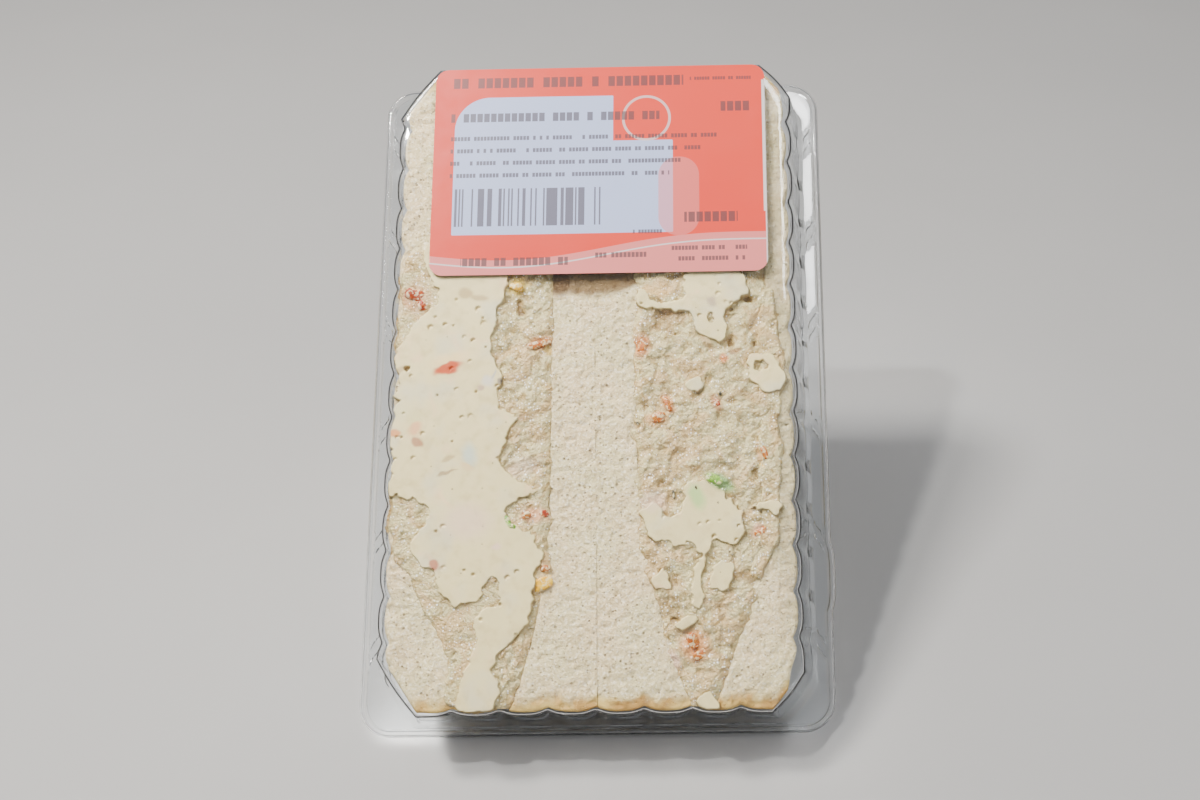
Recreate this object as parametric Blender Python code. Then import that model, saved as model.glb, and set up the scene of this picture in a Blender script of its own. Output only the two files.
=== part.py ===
"""Chicken salad sandwich: two diagonal half sandwiches in a shut, clear wedge pack with a paper label.

The pack is built flat first, with u across the window, v up along it and w out through it, and is then
tipped onto the foot of its flange and the heel of its tray, which is how it stands on a table.
"""
import math

import bmesh
import bpy
from mathutils import Matrix, Vector

MM = 0.001

# Flange
RIM_WIDTH = 104.0 * MM
RIM_LENGTH = 152.0 * MM
RIM_CORNER_RADIUS = 7.0 * MM
FLANGE_TOP = 1.0 * MM
FLANGE_UNDERSIDE = 0.3 * MM
BEAD_TOP = 1.9 * MM
SKIRT_BOTTOM = -1.8 * MM
SKIRT_THICKNESS = 0.8 * MM
TAB_CENTRE_V = -42.5 * MM
TAB_LENGTH = 15.0 * MM
TAB_REACH = 0.8 * MM

# Raised window of the lid
PLASTIC = 0.8 * MM
WINDOW_HEIGHT = 18.0 * MM
WINDOW_HALF_WIDTH = 44.8 * MM
WINDOW_V_LOW = -72.0 * MM
WINDOW_V_HIGH = 73.6 * MM
WINDOW_EDGE_RADIUS = 1.0 * MM
SIDE_DRAFT = 2.4 * MM
HEAD_DRAFT = 0.5 * MM
FOOT_DRAFT = 1.2 * MM
CHAMFER_LEFT = (8.8 * MM, 12.0 * MM)
CHAMFER_RIGHT = (7.0 * MM, 8.2 * MM)
FLUTE_DEPTH = 0.95 * MM
FLUTE_HALF_WIDTH = 1.6 * MM
SIDE_FLUTE_PITCH = 9.65 * MM
SIDE_FLUTE_FIRST = -56.6 * MM
SIDE_FLUTE_COUNT = 13
END_FLUTE_PITCH = 10.0 * MM
END_FLUTE_FIRST = -28.7 * MM
END_FLUTE_COUNT = 7
CORNER_STEPS = 4

# Bread, cut from corner to corner
SLICE_CORNER_RADIUS = 26.0 * MM
CUT_HALF_LENGTH = 70.9 * MM
CUT_CENTRE_V = 0.8 * MM
BREAD_CUT_W = 16.2 * MM
STACK_HALF_WIDTH = 42.75 * MM
CHAMFER_CLEARANCE = 1.3 * MM
CRUST_ROUNDING = 3.0 * MM
CONTACT_GAP = 0.3 * MM
SEAM_CENTRE = 0.35 * MM
SEAM_LEAN = -0.017

# Chicken salad
SALAD_PROUD = 0.65 * MM
SALAD_END_SHARE = 0.975
LUMP_PITCH_V = 4.2 * MM
LUMP_STEPS_U = 6
LUMP_DEPTH = 1.5 * MM

# Tray under the flange
TRAY_TOP = -0.1 * MM
TRAY_FLANGE_UNDERSIDE = -0.9 * MM
TRAY_FLANGE_INSET = 1.2 * MM
TRAY_MOUTH_HALF_WIDTH = 45.6 * MM
TRAY_FLOOR_HALF_WIDTH = 43.3 * MM
TRAY_LOWER_GAP = 0.35 * MM
TRAY_UPPER_GAP = 1.2 * MM
TRAY_HEEL_GAP = 0.5 * MM
TRAY_CORNER_RADIUS = 3.0 * MM
TRAY_EDGE_RADIUS = 1.5 * MM

# Label
LABEL_LEFT = -36.7 * MM
LABEL_RIGHT = 38.9 * MM
LABEL_LOW = 23.4 * MM
LABEL_HIGH = 73.2 * MM
LABEL_CORNER_RADIUS = 3.0 * MM
LABEL_THICKNESS = 0.35 * MM
LABEL_FOLD_ANGLE = math.radians(38.0)
LABEL_ARC_STEPS = 4

HALF_DIAGONAL = CUT_HALF_LENGTH + (math.sqrt(2.0) - 1.0) * SLICE_CORNER_RADIUS
LEG_OFFSET = HALF_DIAGONAL - BREAD_CUT_W


def clear_scene():
    """Remove every object that the file opened with."""
    for item in list(bpy.data.objects):
        bpy.data.objects.remove(item, do_unlink=True)


def make_material(name, colour, roughness, alpha=1.0):
    """Return a Principled material; alpha below one makes it a see-through plastic."""
    material = bpy.data.materials.new(name)
    material.use_nodes = True
    shader = material.node_tree.nodes["Principled BSDF"]
    shader.inputs["Base Color"].default_value = (*colour, 1.0)
    shader.inputs["Roughness"].default_value = roughness
    shader.inputs["Alpha"].default_value = alpha
    material.diffuse_color = (*colour, alpha)
    return material


def loft(name, rings, material, collection):
    """Skin a run of closed rings, each with the same number of points, and cap both ends.

    A quad is always split from its high v corner on one ring to its low v corner on the next, so that
    the faces of two neighbours on one lattice stay parallel.
    """
    shape = bmesh.new()
    rows = [[shape.verts.new(point) for point in ring] for ring in rings]
    for lower, upper in zip(rows, rows[1:]):
        for index in range(len(lower)):
            following = (index + 1) % len(lower)
            corners = [lower[index], lower[following], upper[following], upper[index]]
            if lower[following].co.y > lower[index].co.y:
                corners.append(corners.pop(0))
            shape.faces.new(corners[:3])
            shape.faces.new((corners[0], corners[2], corners[3]))
    shape.faces.new(list(reversed(rows[0])))
    shape.faces.new(rows[-1])
    bmesh.ops.recalc_face_normals(shape, faces=shape.faces)
    mesh = bpy.data.meshes.new(name)
    shape.to_mesh(mesh)
    shape.free()
    mesh.materials.append(material)
    item = bpy.data.objects.new(name, mesh)
    collection.objects.link(item)
    return item


def at_height(outline, w):
    """Lift a flat outline of (u, v) pairs to a height along the window's normal."""
    return [(u, v, w) for u, v in outline]


def side_stations(start, end, first, pitch, count, depth):
    """Return (fraction, inward offset) pairs along one side, three for each flute."""
    stations = []
    centres = [first + pitch * index for index in range(count)]
    if end < start:
        centres.reverse()
    for centre in centres:
        for step in (-1, 0, 1):
            place = centre + step * FLUTE_HALF_WIDTH * (1 if end > start else -1)
            stations.append(((place - start) / (end - start), depth if step == 0 else 0.0))
    return stations


def ring_from_corners(corner_runs, fractions):
    """Join corner runs of points by straight sides that are divided at the given fractions."""
    ring = []
    for index, run in enumerate(corner_runs):
        ring.extend(run)
        start = Vector(run[-1])
        end = Vector(corner_runs[(index + 1) % 4][0])
        along = (end - start).normalized()
        inward = Vector((-along.y, along.x))
        for fraction, depth in fractions[index]:
            point = start.lerp(end, fraction) + inward * depth
            ring.append((point.x, point.y))
    return ring


def window_fractions(depth):
    """Divide the window's right, head, left and foot sides at its flutes."""
    right_low = WINDOW_V_LOW + CHAMFER_RIGHT[1]
    right_high = WINDOW_V_HIGH - CHAMFER_RIGHT[1]
    left_low = WINDOW_V_LOW + CHAMFER_LEFT[1]
    left_high = WINDOW_V_HIGH - CHAMFER_LEFT[1]
    end_right = WINDOW_HALF_WIDTH - CHAMFER_RIGHT[0]
    end_left = -WINDOW_HALF_WIDTH + CHAMFER_LEFT[0]
    side = (SIDE_FLUTE_FIRST, SIDE_FLUTE_PITCH, SIDE_FLUTE_COUNT, depth)
    end = (END_FLUTE_FIRST, END_FLUTE_PITCH, END_FLUTE_COUNT, depth)
    return [
        side_stations(right_low, right_high, *side),
        side_stations(end_right, end_left, *end),
        side_stations(left_high, left_low, *side),
        side_stations(end_left, end_right, *end),
    ]


def chamfer_run(start, end, bulge):
    """Return a chamfer's points, its middle pushed out a little so that both its ends are soft."""
    start = Vector(start)
    end = Vector(end)
    along = (end - start).normalized()
    outward = Vector((along.y, -along.x))
    run = []
    for step in range(CORNER_STEPS + 1):
        fraction = step / CORNER_STEPS
        point = start.lerp(end, fraction) + outward * bulge * math.sin(math.pi * fraction)
        run.append((point.x, point.y))
    return run


def window_outline(grow_side=0.0, grow_head=0.0, grow_foot=0.0):
    """Return the fluted window outline, counter-clockwise from the low end of its lower right chamfer."""
    half = WINDOW_HALF_WIDTH + grow_side
    low = WINDOW_V_LOW - grow_foot
    high = WINDOW_V_HIGH + grow_head
    left_x, left_y = CHAMFER_LEFT
    right_x, right_y = CHAMFER_RIGHT
    bulge = 0.5 * MM
    runs = [
        chamfer_run((half - right_x, low), (half, low + right_y), bulge),
        chamfer_run((half, high - right_y), (half - right_x, high), bulge),
        chamfer_run((-half + left_x, high), (-half, high - left_y), bulge),
        chamfer_run((-half, low + left_y), (-half + left_x, low), bulge),
    ]
    return ring_from_corners(runs, window_fractions(FLUTE_DEPTH))


def inset_window(inset):
    """Return the window outline moved inward by the same amount on every side."""
    return window_outline(-inset, -inset, -inset)


def corner_arc(centre, radius, start_angle, steps):
    """Return a quarter circle of points, counter-clockwise."""
    run = []
    for step in range(steps + 1):
        angle = start_angle + 0.5 * math.pi * step / steps
        run.append((centre[0] + radius * math.cos(angle), centre[1] + radius * math.sin(angle)))
    return run


def rounded_rectangle(left, right, low, high, radius, steps):
    """Return four corner runs of a rounded rectangle, starting at the lower right corner."""
    return [
        corner_arc((right - radius, low + radius), radius, -0.5 * math.pi, steps),
        corner_arc((right - radius, high - radius), radius, 0.0, steps),
        corner_arc((left + radius, high - radius), radius, 0.5 * math.pi, steps),
        corner_arc((left + radius, low + radius), radius, math.pi, steps),
    ]


def rim_outline(inset, with_tab=True):
    """Return the flange outline with the same point order as the window, and its lifting tab."""
    half = 0.5 * RIM_WIDTH - inset
    end = 0.5 * RIM_LENGTH - inset
    runs = rounded_rectangle(-half, half, -end, end, RIM_CORNER_RADIUS - inset, CORNER_STEPS)
    ring = ring_from_corners(runs, window_fractions(0.0))
    if not with_tab:
        return ring
    shaped = []
    for u, v in ring:
        reach = abs(v - TAB_CENTRE_V) / (0.5 * TAB_LENGTH)
        if u > 0.0 and reach < 1.0:
            u += TAB_REACH * (1.0 - reach ** 4)
        shaped.append((u, v))
    return shaped


def build_lid(material, collection):
    """Build the lid: fluted window, flange and a bead that turns down over the tray."""
    foot_outer = window_outline(SIDE_DRAFT, HEAD_DRAFT, FOOT_DRAFT)
    foot_inner = window_outline(SIDE_DRAFT - PLASTIC, HEAD_DRAFT - PLASTIC, FOOT_DRAFT - PLASTIC)
    rings = [
        at_height(inset_window(WINDOW_EDGE_RADIUS), WINDOW_HEIGHT),
        at_height(inset_window(0.0), WINDOW_HEIGHT - WINDOW_EDGE_RADIUS),
        at_height(foot_outer, FLANGE_TOP),
        at_height(rim_outline(1.8 * MM), FLANGE_TOP),
        at_height(rim_outline(1.3 * MM), BEAD_TOP),
        at_height(rim_outline(0.4 * MM), BEAD_TOP),
        at_height(rim_outline(0.0), SKIRT_BOTTOM),
        at_height(rim_outline(SKIRT_THICKNESS), SKIRT_BOTTOM),
        at_height(rim_outline(SKIRT_THICKNESS + 0.3 * MM), BEAD_TOP - PLASTIC),
        at_height(rim_outline(2.0 * MM), FLANGE_UNDERSIDE),
        at_height(foot_inner, FLANGE_UNDERSIDE),
        at_height(inset_window(PLASTIC), WINDOW_HEIGHT - WINDOW_EDGE_RADIUS - 0.3 * MM),
        at_height(inset_window(WINDOW_EDGE_RADIUS + 0.4 * MM), WINDOW_HEIGHT - PLASTIC),
    ]
    return loft("lid", rings, material, collection)


def tray_wall(w, shell):
    """Return the tray's half width and its two leg positions at a depth; shell is the wall's thickness."""
    depth_share = min(1.0, max(0.0, -w / (HALF_DIAGONAL - BREAD_CUT_W)))
    half = TRAY_MOUTH_HALF_WIDTH + (TRAY_FLOOR_HALF_WIDTH - TRAY_MOUTH_HALF_WIDTH) * depth_share + shell
    slant = math.sqrt(2.0)
    low = CUT_CENTRE_V - (LEG_OFFSET + w) - slant * (TRAY_LOWER_GAP + shell)
    high = CUT_CENTRE_V + (LEG_OFFSET + w) + slant * (TRAY_UPPER_GAP + shell)
    return half, low, high


def tray_ring(w, shell, inset=0.0):
    """Return one level of the tray's cup as a ring."""
    half, low, high = tray_wall(w, shell)
    runs = rounded_rectangle(
        -half + inset, half - inset, low + inset, high - inset, TRAY_CORNER_RADIUS, CORNER_STEPS
    )
    return at_height([point for run in runs for point in run], w)


def tray_flange_ring(w):
    """Return the outer edge of the tray's own flange, which lies inside the lid's skirt."""
    half = 0.5 * RIM_WIDTH - TRAY_FLANGE_INSET
    end = 0.5 * RIM_LENGTH - TRAY_FLANGE_INSET
    radius = RIM_CORNER_RADIUS - TRAY_FLANGE_INSET
    runs = rounded_rectangle(-half, half, -end, end, radius, CORNER_STEPS)
    return at_height([point for run in runs for point in run], w)


def build_tray(material, collection):
    """Build the tray: a flange and a cup whose two slanting walls meet at a narrow heel."""
    floor_inner = BREAD_CUT_W - CUT_HALF_LENGTH - TRAY_HEEL_GAP
    floor_outer = floor_inner - PLASTIC
    rings = [
        tray_ring(floor_outer, PLASTIC, TRAY_EDGE_RADIUS),
        tray_ring(floor_outer + 0.5 * TRAY_EDGE_RADIUS, PLASTIC, 0.0),
        tray_ring(TRAY_FLANGE_UNDERSIDE, PLASTIC),
        tray_flange_ring(TRAY_FLANGE_UNDERSIDE),
        tray_flange_ring(TRAY_TOP),
        tray_ring(TRAY_TOP, 0.0),
        tray_ring(floor_inner + 0.5 * TRAY_EDGE_RADIUS, 0.0, 0.0),
        tray_ring(floor_inner, 0.0, TRAY_EDGE_RADIUS),
    ]
    return loft("tray", rings, material, collection)


def slice_half_length(depth):
    """Return the half length, along the cut, of a rounded slice at a depth behind the cut."""
    centre = HALF_DIAGONAL - math.sqrt(2.0) * SLICE_CORNER_RADIUS
    tangent = SLICE_CORNER_RADIUS * math.sin(0.25 * math.pi)
    if depth <= tangent:
        return centre + math.sqrt(SLICE_CORNER_RADIUS ** 2 - depth ** 2)
    if depth <= centre + tangent:
        return HALF_DIAGONAL - depth
    return math.sqrt(max(0.0, SLICE_CORNER_RADIUS ** 2 - (depth - centre) ** 2))


def crust_share(v, depth):
    """Return 0 at the middle of the cut and 1 at the crust."""
    return min(1.0, (abs(v - CUT_CENTRE_V) + 0.92 * max(0.0, depth)) / CUT_HALF_LENGTH)


def pack_side(v, depth, side):
    """Return the stack's outer face: it follows the pack's side and chamfers and is soft at the crust."""
    width, length = CHAMFER_LEFT if side < 0 else CHAMFER_RIGHT
    past_high = v - (WINDOW_V_HIGH - length)
    past_low = (WINDOW_V_LOW + length) - v
    past = max(past_high, past_low)
    chamfer_line = WINDOW_HALF_WIDTH - CHAMFER_CLEARANCE - past * width / length
    soft_line = STACK_HALF_WIDTH - CRUST_ROUNDING * crust_share(v, depth) ** 12
    return side * min(chamfer_line, soft_line)


def seam(v, depth):
    """Return where the two inner slices meet back to back."""
    return SEAM_CENTRE + SEAM_LEAN * v


LAYER_FACES = {
    "left_pack": lambda v, depth: pack_side(v, depth, -1),
    "left_outer": lambda v, depth: (-36.0 + 13.5 * crust_share(v, depth) ** 2.2) * MM,
    "left_inner": lambda v, depth: (-9.4 - 7.6 * crust_share(v, depth) ** 4) * MM,
    "seam": seam,
    "right_inner": lambda v, depth: (9.6 + 12.6 * crust_share(v, depth) ** 2.8) * MM,
    "right_outer": lambda v, depth: (38.6 - 13.2 * crust_share(v, depth) ** 2.6) * MM,
    "right_pack": lambda v, depth: pack_side(v, depth, 1),
}

ROW_DEPTHS = [depth * MM for depth in (0.0, 4.0, 10.5, 18.4, 31.0, 44.0, 57.0, 64.0, 68.5, 70.6)]
COLUMN_SHARES = [-1.0, -0.93, -0.82, -0.64, -0.36, 0.0, 0.36, 0.64, 0.82, 0.93, 1.0]


def lump_relief(u, v):
    """Return how far the salad's cut face lies back at a point: lumps of several sizes, from 0 to 1."""
    u_mm = u / MM
    v_mm = v / MM
    broad = math.sin(0.61 * u_mm + 1.3 * math.sin(0.23 * v_mm)) * math.sin(0.37 * v_mm + 0.4)
    narrow = math.sin(1.17 * u_mm - 0.5 * v_mm + 0.9) * math.sin(0.83 * v_mm + 0.31 * u_mm)
    return 0.5 + 0.3 * broad + 0.2 * narrow


def add_lumps(item, cut_w):
    """Divide a filling's cut face into a lattice and sink it unevenly, as lumps of salad are."""
    shape = bmesh.new()
    shape.from_mesh(item.data)
    front = [face for face in shape.faces if all(abs(vert.co.z - cut_w) < 0.00001 for vert in face.verts)]
    low = min(vert.co.y for vert in front[0].verts)
    high = max(vert.co.y for vert in front[0].verts)
    rungs = []
    place = low + LUMP_PITCH_V
    while place < high - 0.5 * LUMP_PITCH_V:
        edges = {edge for face in front for edge in face.edges}
        verts = {vert for face in front for vert in face.verts}
        made = bmesh.ops.bisect_plane(
            shape, geom=list(verts) + list(edges) + front, plane_co=(0.0, place, 0.0),
            plane_no=(0.0, 1.0, 0.0), dist=0.000001,
        )
        rungs.extend(piece for piece in made["geom_cut"] if isinstance(piece, bmesh.types.BMEdge))
        front = [face for face in shape.faces if all(abs(vert.co.z - cut_w) < 0.00001 for vert in face.verts)]
        place += LUMP_PITCH_V
    made = bmesh.ops.subdivide_edges(shape, edges=rungs, cuts=LUMP_STEPS_U, use_grid_fill=True)
    inner = [piece for piece in made["geom_inner"] if isinstance(piece, bmesh.types.BMVert)]
    for vert in inner:
        vert.co.z -= LUMP_DEPTH * lump_relief(vert.co.x, vert.co.y)
    shape.to_mesh(item.data)
    shape.free()


def build_layer(name, faces, gap, rows, columns, material, collection):
    """Build one slice or filling as a loft of its cross-sections from the cut back to the far corner."""
    low_face, high_face = (LAYER_FACES[face] for face in faces)
    rings = []
    for depth in rows:
        half = slice_half_length(max(0.0, depth))
        places = [CUT_CENTRE_V + half * share for share in columns]
        near = [(low_face(v, depth) + gap, v, BREAD_CUT_W - depth) for v in places]
        far = [(high_face(v, depth) - gap, v, BREAD_CUT_W - depth) for v in places]
        rings.append(near + list(reversed(far)))
    return loft(name, rings, material, collection)


def build_sandwich(crumb, salad, collection):
    """Build four slices of bread and the two fillings between them, which stand proud of the cut."""
    slices = {
        "slice_outer_left": ("left_pack", "left_outer"),
        "slice_inner_left": ("left_inner", "seam"),
        "slice_inner_right": ("seam", "right_inner"),
        "slice_outer_right": ("right_outer", "right_pack"),
    }
    for name, faces in slices.items():
        build_layer(name, faces, 0.5 * CONTACT_GAP, ROW_DEPTHS, COLUMN_SHARES, crumb, collection)
    rows = [-SALAD_PROUD] + ROW_DEPTHS[:-1]
    columns = [-SALAD_END_SHARE] + COLUMN_SHARES[1:-1] + [SALAD_END_SHARE]
    fillings = {
        "filling_left": ("left_outer", "left_inner"),
        "filling_right": ("right_inner", "right_outer"),
    }
    for name, faces in fillings.items():
        filling = build_layer(name, faces, 0.75 * CONTACT_GAP, rows, columns, salad, collection)
        add_lumps(filling, BREAD_CUT_W + SALAD_PROUD)


def build_label(material, collection):
    """Build the paper label, its upper right corner folded down where it passes the window's chamfer."""
    bottom = WINDOW_HEIGHT + CONTACT_GAP
    runs = rounded_rectangle(
        LABEL_LEFT, LABEL_RIGHT, LABEL_LOW, LABEL_HIGH, LABEL_CORNER_RADIUS, LABEL_ARC_STEPS
    )
    outline = [point for run in runs for point in run]
    rings = [at_height(outline, bottom), at_height(outline, bottom + LABEL_THICKNESS)]
    label = loft("label", rings, material, collection)
    chamfer_x, chamfer_y = CHAMFER_RIGHT
    fold_from = Vector((WINDOW_HALF_WIDTH - WINDOW_EDGE_RADIUS, WINDOW_V_HIGH - chamfer_y, bottom))
    fold_to = Vector((WINDOW_HALF_WIDTH - chamfer_x, WINDOW_V_HIGH - WINDOW_EDGE_RADIUS, bottom))
    axis = (fold_to - fold_from).normalized()
    outward = axis.cross(Vector((0.0, 0.0, 1.0)))
    shape = bmesh.new()
    shape.from_mesh(label.data)
    bmesh.ops.bisect_plane(
        shape, geom=shape.verts[:] + shape.edges[:] + shape.faces[:], plane_co=fold_from, plane_no=outward,
        dist=0.00001,
    )
    beyond = [vert for vert in shape.verts if (vert.co - fold_from).dot(outward) > 0.00002]
    bmesh.ops.rotate(shape, verts=beyond, cent=fold_from, matrix=Matrix.Rotation(LABEL_FOLD_ANGLE, 3, axis))
    shape.to_mesh(label.data)
    shape.free()
    return label


def resting_angle(items):
    """Return the window's tilt when the pack stands on its lower flange edge and the tray's heel."""
    edge_v = -0.5 * RIM_LENGTH
    edge_w = SKIRT_BOTTOM
    angle = 0.0
    for item in items:
        for vert in item.data.vertices:
            if vert.co.y > edge_v + 10.0 * MM:
                angle = max(angle, math.atan2(edge_w - vert.co.z, vert.co.y - edge_v))
    return angle


def stand_up(items):
    """Tip every piece to the resting angle, centre the object in plan and put its lowest point at zero."""
    tip = Matrix.Rotation(resting_angle(items), 4, "X")
    for item in items:
        item.data.transform(tip)
    points = [vert.co for item in items for vert in item.data.vertices]
    lows = [min(point[axis] for point in points) for axis in range(3)]
    highs = [max(point[axis] for point in points) for axis in range(3)]
    shift = Matrix.Translation(
        (-0.5 * (lows[0] + highs[0]), -0.5 * (lows[1] + highs[1]), -lows[2])
    )
    for item in items:
        item.data.transform(shift)
        item.data.update()


def main():
    """Build the whole object."""
    clear_scene()
    collection = bpy.data.collections.new("packed_sandwich")
    bpy.context.scene.collection.children.link(collection)
    clear_lid = make_material("clear_lid", (0.90, 0.92, 0.93), 0.06, 0.25)
    clear_tray = make_material("clear_tray", (0.86, 0.88, 0.90), 0.08, 0.25)
    crumb = make_material("bread_crumb", (0.62, 0.55, 0.42), 0.85)
    salad = make_material("chicken_salad", (0.60, 0.53, 0.39), 0.35)
    paper = make_material("label_paper", (0.90, 0.22, 0.13), 0.45)
    build_tray(clear_tray, collection)
    build_lid(clear_lid, collection)
    build_label(paper, collection)
    build_sandwich(crumb, salad, collection)
    stand_up(list(collection.objects))


main()
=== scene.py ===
"""Chicken salad sandwich: two diagonal half sandwiches shut in a clear wedge pack with a paper label.

The pack is laid out flat, with u across the window, v up along it and w out through it. Each finished mesh
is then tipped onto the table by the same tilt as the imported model.
"""
import logging
import math
from dataclasses import dataclass, field
from enum import Enum
from functools import cached_property
from typing import Sequence

import bmesh
import bpy
import numpy as np
from mathutils import Matrix, Vector


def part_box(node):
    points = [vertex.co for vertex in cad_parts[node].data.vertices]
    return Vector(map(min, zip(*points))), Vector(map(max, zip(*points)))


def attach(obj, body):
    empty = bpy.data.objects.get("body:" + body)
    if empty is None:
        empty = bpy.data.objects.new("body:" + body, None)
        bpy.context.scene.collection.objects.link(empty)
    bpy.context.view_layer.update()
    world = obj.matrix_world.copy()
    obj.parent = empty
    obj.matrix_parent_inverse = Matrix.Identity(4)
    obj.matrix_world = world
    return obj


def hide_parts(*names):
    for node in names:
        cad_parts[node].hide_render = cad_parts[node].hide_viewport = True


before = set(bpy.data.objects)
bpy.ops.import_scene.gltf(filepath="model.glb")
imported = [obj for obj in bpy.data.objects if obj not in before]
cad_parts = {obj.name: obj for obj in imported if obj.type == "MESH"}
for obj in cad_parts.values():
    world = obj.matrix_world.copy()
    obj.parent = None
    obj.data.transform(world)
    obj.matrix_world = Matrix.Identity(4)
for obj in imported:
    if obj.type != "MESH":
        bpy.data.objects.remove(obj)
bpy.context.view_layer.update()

log = logging.getLogger("packed_sandwich")

MM = 0.001
BODY = "root"
HAIR = 0.0001
# HOLLOW_TOP and HOLLOW_REACH set the depth mask for the painted shade in the salad's hollows.
HOLLOW_TOP = 16.9 * MM
HOLLOW_REACH = 1.3 * MM
LABEL_TOP = 18.65 * MM
Points = np.ndarray
Colour = tuple[float, float, float]
Item = bpy.types.Object
Material = bpy.types.Material
Node = bpy.types.Node
NodeTree = bpy.types.NodeTree
Socket = bpy.types.NodeSocket


@dataclass(frozen=True)
class PackFrame:
    """The pack's driving sizes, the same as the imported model's, and the way the pack stands."""

    rim_width: float = 104.0 * MM
    rim_length: float = 152.0 * MM
    rim_corner: float = 7.0 * MM
    flange_top: float = 1.0 * MM
    bead_top: float = 1.9 * MM
    skirt_bottom: float = -1.8 * MM
    wall: float = 0.8 * MM
    window_height: float = 18.0 * MM
    window_half: float = 44.8 * MM
    window_low: float = -72.0 * MM
    window_high: float = 73.6 * MM
    window_edge: float = 1.0 * MM
    cut_height: float = 16.2 * MM
    cut_half: float = 70.9 * MM
    cut_centre: float = 0.8 * MM
    slice_corner: float = 26.0 * MM
    tray_lower_gap: float = 0.35 * MM
    tray_upper_gap: float = 1.2 * MM
    heel_gap: float = 0.5 * MM
    tray_edge: float = 1.5 * MM

    @property
    def half_diagonal(self) -> float:
        """Half the diagonal that a slice would have with square corners."""
        return self.cut_half + (math.sqrt(2.0) - 1.0) * self.slice_corner

    @property
    def leg_offset(self) -> float:
        """Half the length of the sandwich's outline at the level of the flange."""
        return self.half_diagonal - self.cut_height

    @property
    def tray_floor(self) -> float:
        """The level of the tray's heel, outside."""
        return self.cut_height - self.cut_half - self.heel_gap - self.wall

    @property
    def tilt(self) -> float:
        """The window's angle above the table, with the pack on its lower edge and the tray's heel."""
        angle = 0.0
        for rise, inset in ((0.0, self.tray_edge), (0.5 * self.tray_edge, 0.0)):
            w = self.tray_floor + rise
            gap = math.sqrt(2.0) * (self.tray_lower_gap + self.wall)
            v = self.cut_centre - (self.leg_offset + w) - gap + inset
            angle = max(angle, math.atan2(self.skirt_bottom - w, v + 0.5 * self.rim_length))
        return angle

    @property
    def shift(self) -> Vector:
        """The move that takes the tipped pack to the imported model's place."""
        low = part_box("lid")[0]
        sin, cos = math.sin(self.tilt), math.cos(self.tilt)
        edge = min(
            (self.window_low + inset) * cos - (self.window_height - self.window_edge + inset) * sin
            for inset in (0.0, self.window_edge)
        )
        foot = -0.5 * self.rim_length * sin + self.skirt_bottom * cos
        return Vector((low.x + 0.5 * self.rim_width, low.y - edge, low.z - foot))

    def stand(self, points: Points) -> Points:
        """Return pack frame points in the row frame.

        Args:
            points: Rows of u, v and w, in metres.

        Returns:
            Rows of x, y and z, in metres.
        """
        sin, cos = math.sin(self.tilt), math.cos(self.tilt)
        u, v, w = points.T
        return np.stack([u, v * cos - w * sin, v * sin + w * cos], axis=1) + np.array(self.shift)

    def turn(self, direction: Sequence[float]) -> Vector:
        """Return a pack frame direction in the row frame."""
        return Matrix.Rotation(self.tilt, 3, "X") @ Vector(direction)


PACK = PackFrame()


class GrainField:
    """Repeatable smooth noise between -1 and 1, read from a lattice of random values."""

    SIZE = 48

    def __init__(self, seed: int) -> None:
        """Draw the lattice's values."""
        self.values = np.random.default_rng(seed).uniform(-1.0, 1.0, (self.SIZE,) * 3)

    def at(self, points: Points, pitch: float) -> Points:
        """Return the noise at some points.

        Args:
            points: Rows of three coordinates, in metres.
            pitch: The lattice's spacing, in metres.

        Returns:
            One value for each point.
        """
        place = points / pitch
        cell = np.floor(place).astype(int)
        share = place - cell
        share = share * share * (3.0 - 2.0 * share)
        total = np.zeros(len(points))
        for corner in np.ndindex(2, 2, 2):
            weight = np.prod(np.where(corner, share, 1.0 - share), axis=1)
            index = (cell + corner) % self.SIZE
            total += weight * self.values[index[:, 0], index[:, 1], index[:, 2]]
        return total

    def along(self, line: Points, pitch: float, row: float = 0.0) -> Points:
        """Return the noise along one line of places; row picks another line of the lattice."""
        level = np.full_like(line, row * pitch)
        return self.at(np.stack([line, level, level], axis=1), pitch)


class LumpField:
    """Rounded lumps packed side by side, with one random centre in each square of a lattice."""

    SIZE = 64

    def __init__(self, pitch: float, seed: int, stretch: float = 1.0) -> None:
        """Draw the lumps' centres and levels; stretch makes them longer along v."""
        draw = np.random.default_rng(seed)
        self.pitch = pitch
        self.stretch = stretch
        self.centres = draw.uniform(0.1, 0.9, (self.SIZE, self.SIZE, 2))
        self.levels = draw.uniform(0.0, 1.0, (self.SIZE, self.SIZE))

    def at(self, u: Points, v: Points) -> tuple[Points, Points]:
        """Return each point's rise on its round lump, 0 to 1, and the lump's own level.

        Args:
            u: Across the window.
            v: Up the window.

        Returns:
            Two rows of values.
        """
        place = np.stack([u, v / self.stretch], axis=1) / self.pitch
        cell = np.floor(place).astype(int)
        near = np.full(len(u), 9.0)
        level = np.zeros(len(u))
        for step in np.ndindex(3, 3):
            square = cell + np.array(step) - 1
            index = square % self.SIZE
            centre = square + self.centres[index[:, 0], index[:, 1]]
            reach = np.hypot(*(place - centre).T)
            closer = reach < near
            level = np.where(closer, self.levels[index[:, 0], index[:, 1]], level)
            near = np.where(closer, reach, near)
        return np.sqrt(np.clip(1.0 - (near / 0.95) ** 2, 0.0, 1.0)), level


def smoothstep(low: float, high: float, value: Points) -> Points:
    """Return a soft step of a value between two limits."""
    share = np.clip((value - low) / (high - low), 0.0, 1.0)
    return share * share * (3.0 - 2.0 * share)


def deselect_all() -> None:
    """Leave no object selected, so that an operator acts only on the new one."""
    for item in list(bpy.context.selected_objects):
        item.select_set(False)


def select_only(item: Item) -> None:
    """Make one object the only selected one, and the active one."""
    deselect_all()
    item.select_set(True)
    bpy.context.view_layer.objects.active = item


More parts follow.
